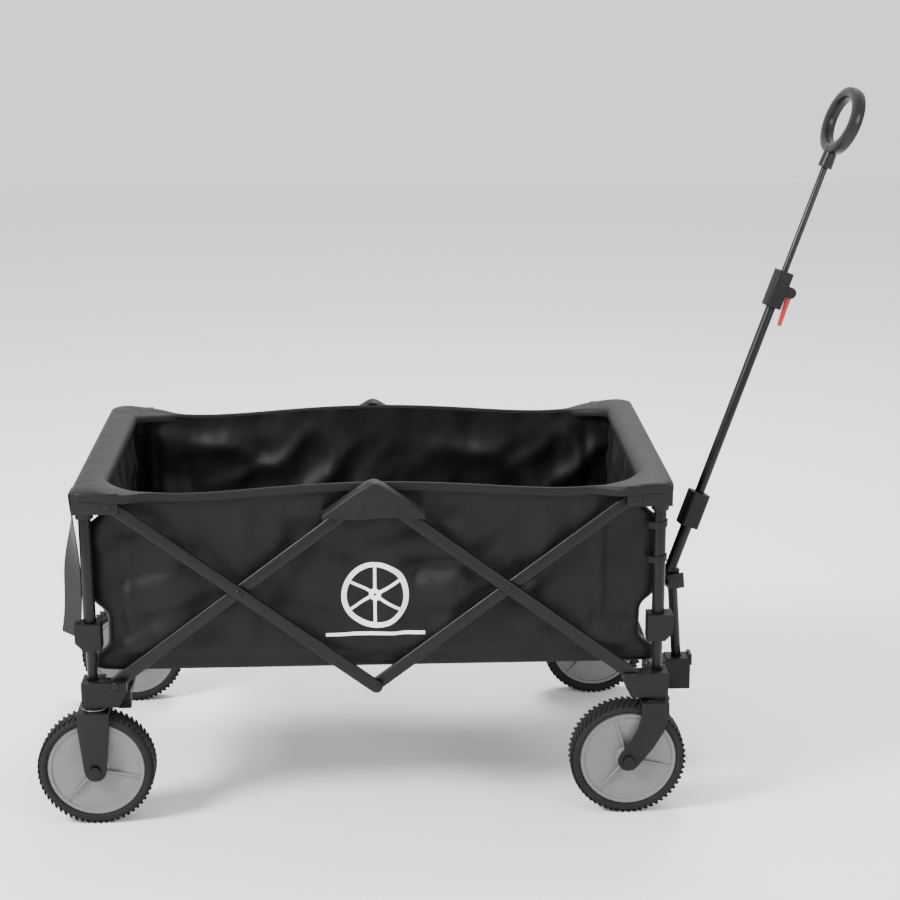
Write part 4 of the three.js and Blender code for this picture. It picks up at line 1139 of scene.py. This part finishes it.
# ---- Pivot pockets: a flap of doubled polyester over each side's top middle pivot ----
# It is sewn to the hem, passes over both bars and hangs outside them, so that the bars' ends
# carry the middle of the rim. Its slanted sides follow the bars; its foot is a straight hem.
pocket_half = 76 * MM
pocket_foot_z = rim_z - 48 * MM
pocket_in = 238 * MM
pocket_out = 266.5 * MM
bar_slope = math.tan(open_angle)
pocket_columns = 36
pocket_drape = 12
for side, sign in (("left", 1), ("right", -1)):
    pocket_rows = [[] for _ in range(pocket_drape + 5)]
    for column in range(pocket_columns + 1):
        x = pocket_half * (2 * column / pocket_columns - 1)
        ridge = rim_z + 7.5 * MM - bar_slope * (math.hypot(x, 9 * MM) - 9 * MM) * 0.97
        foot = min(ridge - 9 * MM, pocket_foot_z + 1.2 * MM * math.sin(x / (13 * MM)))
        outline = [
            (pocket_in, ridge - 3 * MM), (pocket_in + 4 * MM, ridge),
            ((pocket_in + pocket_out) / 2, ridge + 1.2 * MM), (pocket_out - 4 * MM, ridge),
            (pocket_out, ridge - 3 * MM),
        ]
        for drop in range(1, pocket_drape + 1):
            share = drop / pocket_drape
            # A soft fold runs down from the top, towards the rear.
            fold = math.exp(-((x + 26 * MM * share + 6 * MM) / (8 * MM)) ** 2)
            billow = 2.6 * MM * fold * math.sin(math.pi * share * 0.8)
            edge = ridge - 3 * MM
            outline.append((pocket_out + billow - 1.5 * MM * share, edge + (foot - edge) * share))
        for row, (y, z) in enumerate(outline):
            pocket_rows[row].append((middle_x + x, y * sign, z))
    if sign > 0:
        pocket_rows = [list(reversed(row)) for row in pocket_rows]
    pocket = sheet_from_grid(
        f"{side}_pivot_pocket", pocket_rows, False, lambda r, c: (c * 4.2 * MM, r * 5 * MM))
    thicken(pocket, 1.0 * MM)
    fit(pocket, f"{side}_pivot_pocket", "bin_fabric", hem_polyester, "rear_upper_frame")
    crumple(pocket)

# ---- Printed marks: a plain spoked wheel over a ground line, one on each side ----
# White plastisol ink, screen printed on the wall before the bin is sewn. It lies in the weave
# and bends with the cloth.
white_ink, ink_shader = new_material("Plastisol ink, screen printed white")
# Thick opaque ink: warm white, matt, with the yarn just showing through as a fine unevenness.
ink_place = add_node(white_ink, "ShaderNodeTexCoord").outputs["Object"]
ink_weave = add_node(white_ink, "ShaderNodeTexNoise", Vector=ink_place, Scale=1 / (1.6 * MM), Detail=2.0)
ink_tone = add_node(
    white_ink, "ShaderNodeMix", {"data_type": "RGBA"}, Factor=ink_weave.outputs["Fac"],
    _6=hex_colour("#e4e3e1"), _7=hex_colour("#f6f5f3"))
ink_bump = add_node(
    white_ink, "ShaderNodeBump", Height=ink_weave.outputs["Fac"], Strength=0.25, Distance=0.1 * MM)
white_ink.node_tree.links.new(ink_tone.outputs[2], ink_shader.inputs["Base Color"])
white_ink.node_tree.links.new(ink_bump.outputs[0], ink_shader.inputs["Normal"])
ink_shader.inputs["Roughness"].default_value = 0.7
mark_centre_z = low_centre_pivot.z + (high_centre_pivot.z - low_centre_pivot.z) * 0.45
mark_radius = 51 * MM
mark_band = 8 * MM
spoke_count = 6
ground_half = 75 * MM


def flat_patch(points_of, along, across):
    """A flat patch in the wall's plane: points_of(u, v) for u and v from 0 to 1."""
    return [[points_of(i / along, j / across) for i in range(along + 1)] for j in range(across + 1)]


def bar_patch(x0, z0, x1, z1, width):
    reach = math.hypot(x1 - x0, z1 - z0)
    nx, nz = -(z1 - z0) / reach * width / 2, (x1 - x0) / reach * width / 2
    steps = max(4, round(reach / (5 * MM)))
    return flat_patch(lambda u, v: (x0 + (x1 - x0) * u + nx * (2 * v - 1),
                                    z0 + (z1 - z0) * u + nz * (2 * v - 1)), steps, 2)


def ring_patch(inner, outer, steps):
    return flat_patch(lambda u, v: ((inner + (outer - inner) * v) * math.cos(2 * math.pi * u),
                                    (inner + (outer - inner) * v) * math.sin(2 * math.pi * u)), steps, 2)


mark_patches = [ring_patch(mark_radius - mark_band, mark_radius, 72), ring_patch(2 * MM, 9 * MM, 28)]
for k in range(spoke_count):
    angle = math.pi * (k + 0.5) * 2 / spoke_count
    mark_patches.append(bar_patch(
        9 * MM * math.cos(angle), 9 * MM * math.sin(angle),
        (mark_radius - mark_band) * math.cos(angle), (mark_radius - mark_band) * math.sin(angle), 4.6 * MM))
ground_z = -mark_radius - 8 * MM
mark_patches.append(bar_patch(-ground_half, ground_z, ground_half, ground_z, 5 * MM))
for side, sign in (("left", 1), ("right", -1)):
    patches = []
    for patch in mark_patches:
        rows_of_patch = [
            [(middle_x - sign * x, sign * 260 * MM, mark_centre_z + z) for x, z in row] for row in patch]
        patches.append(sheet_from_grid("ink", rows_of_patch, False, lambda r, c: (0, 0)))
    mark = joined(patches)
    wrap = mark.modifiers.new("Lie on the wall", "SHRINKWRAP")
    wrap.target = bin_cloth
    wrap.wrap_method = "PROJECT"
    wrap.use_project_y = True
    wrap.use_project_x = False
    wrap.use_project_z = False
    wrap.use_negative_direction = True
    wrap.use_positive_direction = True
    wrap.wrap_mode = "ABOVE_SURFACE"
    wrap.offset = 0.35 * MM
    settle(mark)
    thick = mark.modifiers.new("Ink film", "SOLIDIFY")
    thick.thickness = 0.3 * MM
    thick.offset = 0
    settle(mark)
    bpy.ops.object.mode_set(mode="EDIT")
    bpy.ops.mesh.select_all(action="SELECT")
    bpy.ops.mesh.remove_doubles(threshold=0.02 * MM)
    bpy.ops.mesh.normals_make_consistent(inside=False)
    bpy.ops.object.mode_set(mode="OBJECT")
    fit(mark, f"{side}_printed_mark", "bin_fabric", white_ink, "rear_upper_frame")
    crumple(mark)

# ---- Floor boards: four stiff boards in a padded polyester cover ----
# Hardboard with thin foam in one quilted cover, stitched between the boards so that they fold.
# They lie loose on the bin's floor and lift out before the wagon is folded.
board_low, board_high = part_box("floor_boards")
board_count = 4
board_gap = 3 * MM
board_length = (board_high.x - board_low.x + board_gap) / board_count - board_gap
board_ends = (board_low.y, board_high.y)
for number in range(board_count):
    start_clean()
    start_x = board_low.x + number * (board_length + board_gap)
    bpy.ops.mesh.primitive_cube_add(size=1)
    board = bpy.context.object
    board.scale = (board_length, board_ends[1] - board_ends[0], board_high.z - board_low.z)
    board.location = (start_x + board_length / 2, 0, (board_low.z + board_high.z) / 2)
    bpy.ops.object.transform_apply(location=True, rotation=True, scale=True)
    bpy.ops.object.mode_set(mode="EDIT")
    bpy.ops.mesh.select_all(action="SELECT")
    bpy.ops.mesh.bevel(offset=2.4 * MM, segments=3, affect="EDGES")
    bpy.ops.mesh.select_all(action="SELECT")
    bpy.ops.mesh.subdivide(number_cuts=12)
    bpy.ops.object.mode_set(mode="OBJECT")
    for vertex in board.data.vertices:
        u = (vertex.co.x - start_x) / board_length
        v = (vertex.co.y - board_ends[0]) / (board_ends[1] - board_ends[0])
        if vertex.co.z > board_high.z - 1 * MM and 0 < u < 1 and 0 < v < 1:
            crown = (math.sin(math.pi * u) * math.sin(math.pi * v)) ** 0.35
            seam = math.exp(-(min(u, 1 - u) * board_length / (5 * MM) - 2) ** 2)
            vertex.co.z += 1.6 * MM * crown - 0.9 * MM * seam
    chart = board.data.uv_layers.active
    chart.name = "cut"
    for corner_of_face in board.data.loops:
        spot = board.data.vertices[corner_of_face.vertex_index].co
        chart.data[corner_of_face.index].uv = (spot.x, spot.y)
    bpy.ops.object.shade_smooth_by_angle(angle=math.radians(50))
    nodes_stood_for = ("floor_boards",) if number == 0 else ()
    fit(board, f"floor_board_pad_{number + 1}", "board_fabric", bin_polyester,
        "rear_upper_frame", *nodes_stood_for)
    crumple(board)

# ---- Rear tie strap: hook-and-loop webbing that ties the folded wagon ----
# Flat polyester webbing, sewn under the rear rim, hangs by the rear post. It turns on its way
# down, and its free end curls away.
strap_low, strap_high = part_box("rear_tie_strap")
strap_width = strap_high.y - strap_low.y - 2 * MM
strap_middle_y = (strap_high.y + strap_low.y) / 2
strap_twist = math.radians(-42)
strap_rows_count = 40
strap_rows = []
for row in range(strap_rows_count + 1):
    t = row / strap_rows_count
    z = strap_high.z - 1 * MM - (strap_high.z - strap_low.z - 2 * MM) * t
    away = strap_high.x - 2 * MM - (strap_high.x - strap_low.x - 4 * MM) * t ** 3
    ripple = 1.2 * MM * math.sin(9 * t)
    face_turn = strap_twist * ease(t * 1.6)
    strap_rows.append([
        (away + ripple + strap_width * (i / 10 - 0.5) * math.sin(face_turn),
         strap_middle_y + strap_width * (i / 10 - 0.5) * math.cos(face_turn), z)
        for i in range(11)
    ])
tie_strap = sheet_from_grid("rear_tie_strap_webbing", strap_rows, False,
                            lambda r, c: (c * 4.4 * MM, r * 5.7 * MM))
thicken(tie_strap, 1.6 * MM)
fit(tie_strap, "rear_tie_strap_webbing", "webbing", webbing_polyester, "rear_upper_frame", "rear_tie_strap")

# ---- Post ties: two narrow webbing loops at each front post ----
# They pass round the outer tube and are sewn to the bin's corner, so that the wall stays up.
front_posts_round = (front_post_high.x - front_post_low.x) / 2 + 1.2 * MM
tie_width = 10 * MM
for side, sign in (("left", 1), ("right", -1)):
    for place_name, tie_z in (("upper", rim_z - 68 * MM), ("lower", rim_z - 122 * MM)):
        tie_rows = []
        for row in range(4):
            ring_points = []
            for step in range(40):
                around = 2 * math.pi * step / 40
                pull = 11 * MM * max(0, -math.cos(around - sign * 0.7)) ** 3
                radius = front_posts_round + pull
                ring_points.append((front_x + radius * math.cos(around),
                                    sign * post_y + radius * math.sin(around),
                                    tie_z + tie_width * (row / 3 - 0.5) + 2 * MM * math.cos(around)))
            tie_rows.append(ring_points)
        tie = sheet_from_grid("tie", tie_rows, True, lambda r, c: (c * 1.6 * MM, r * 3.3 * MM))
        thicken(tie, 1.0 * MM, offset=1.0)
        fit(tie, f"front_{side}_{place_name}_post_tie", "webbing", webbing_polyester, "front_upper_frame")
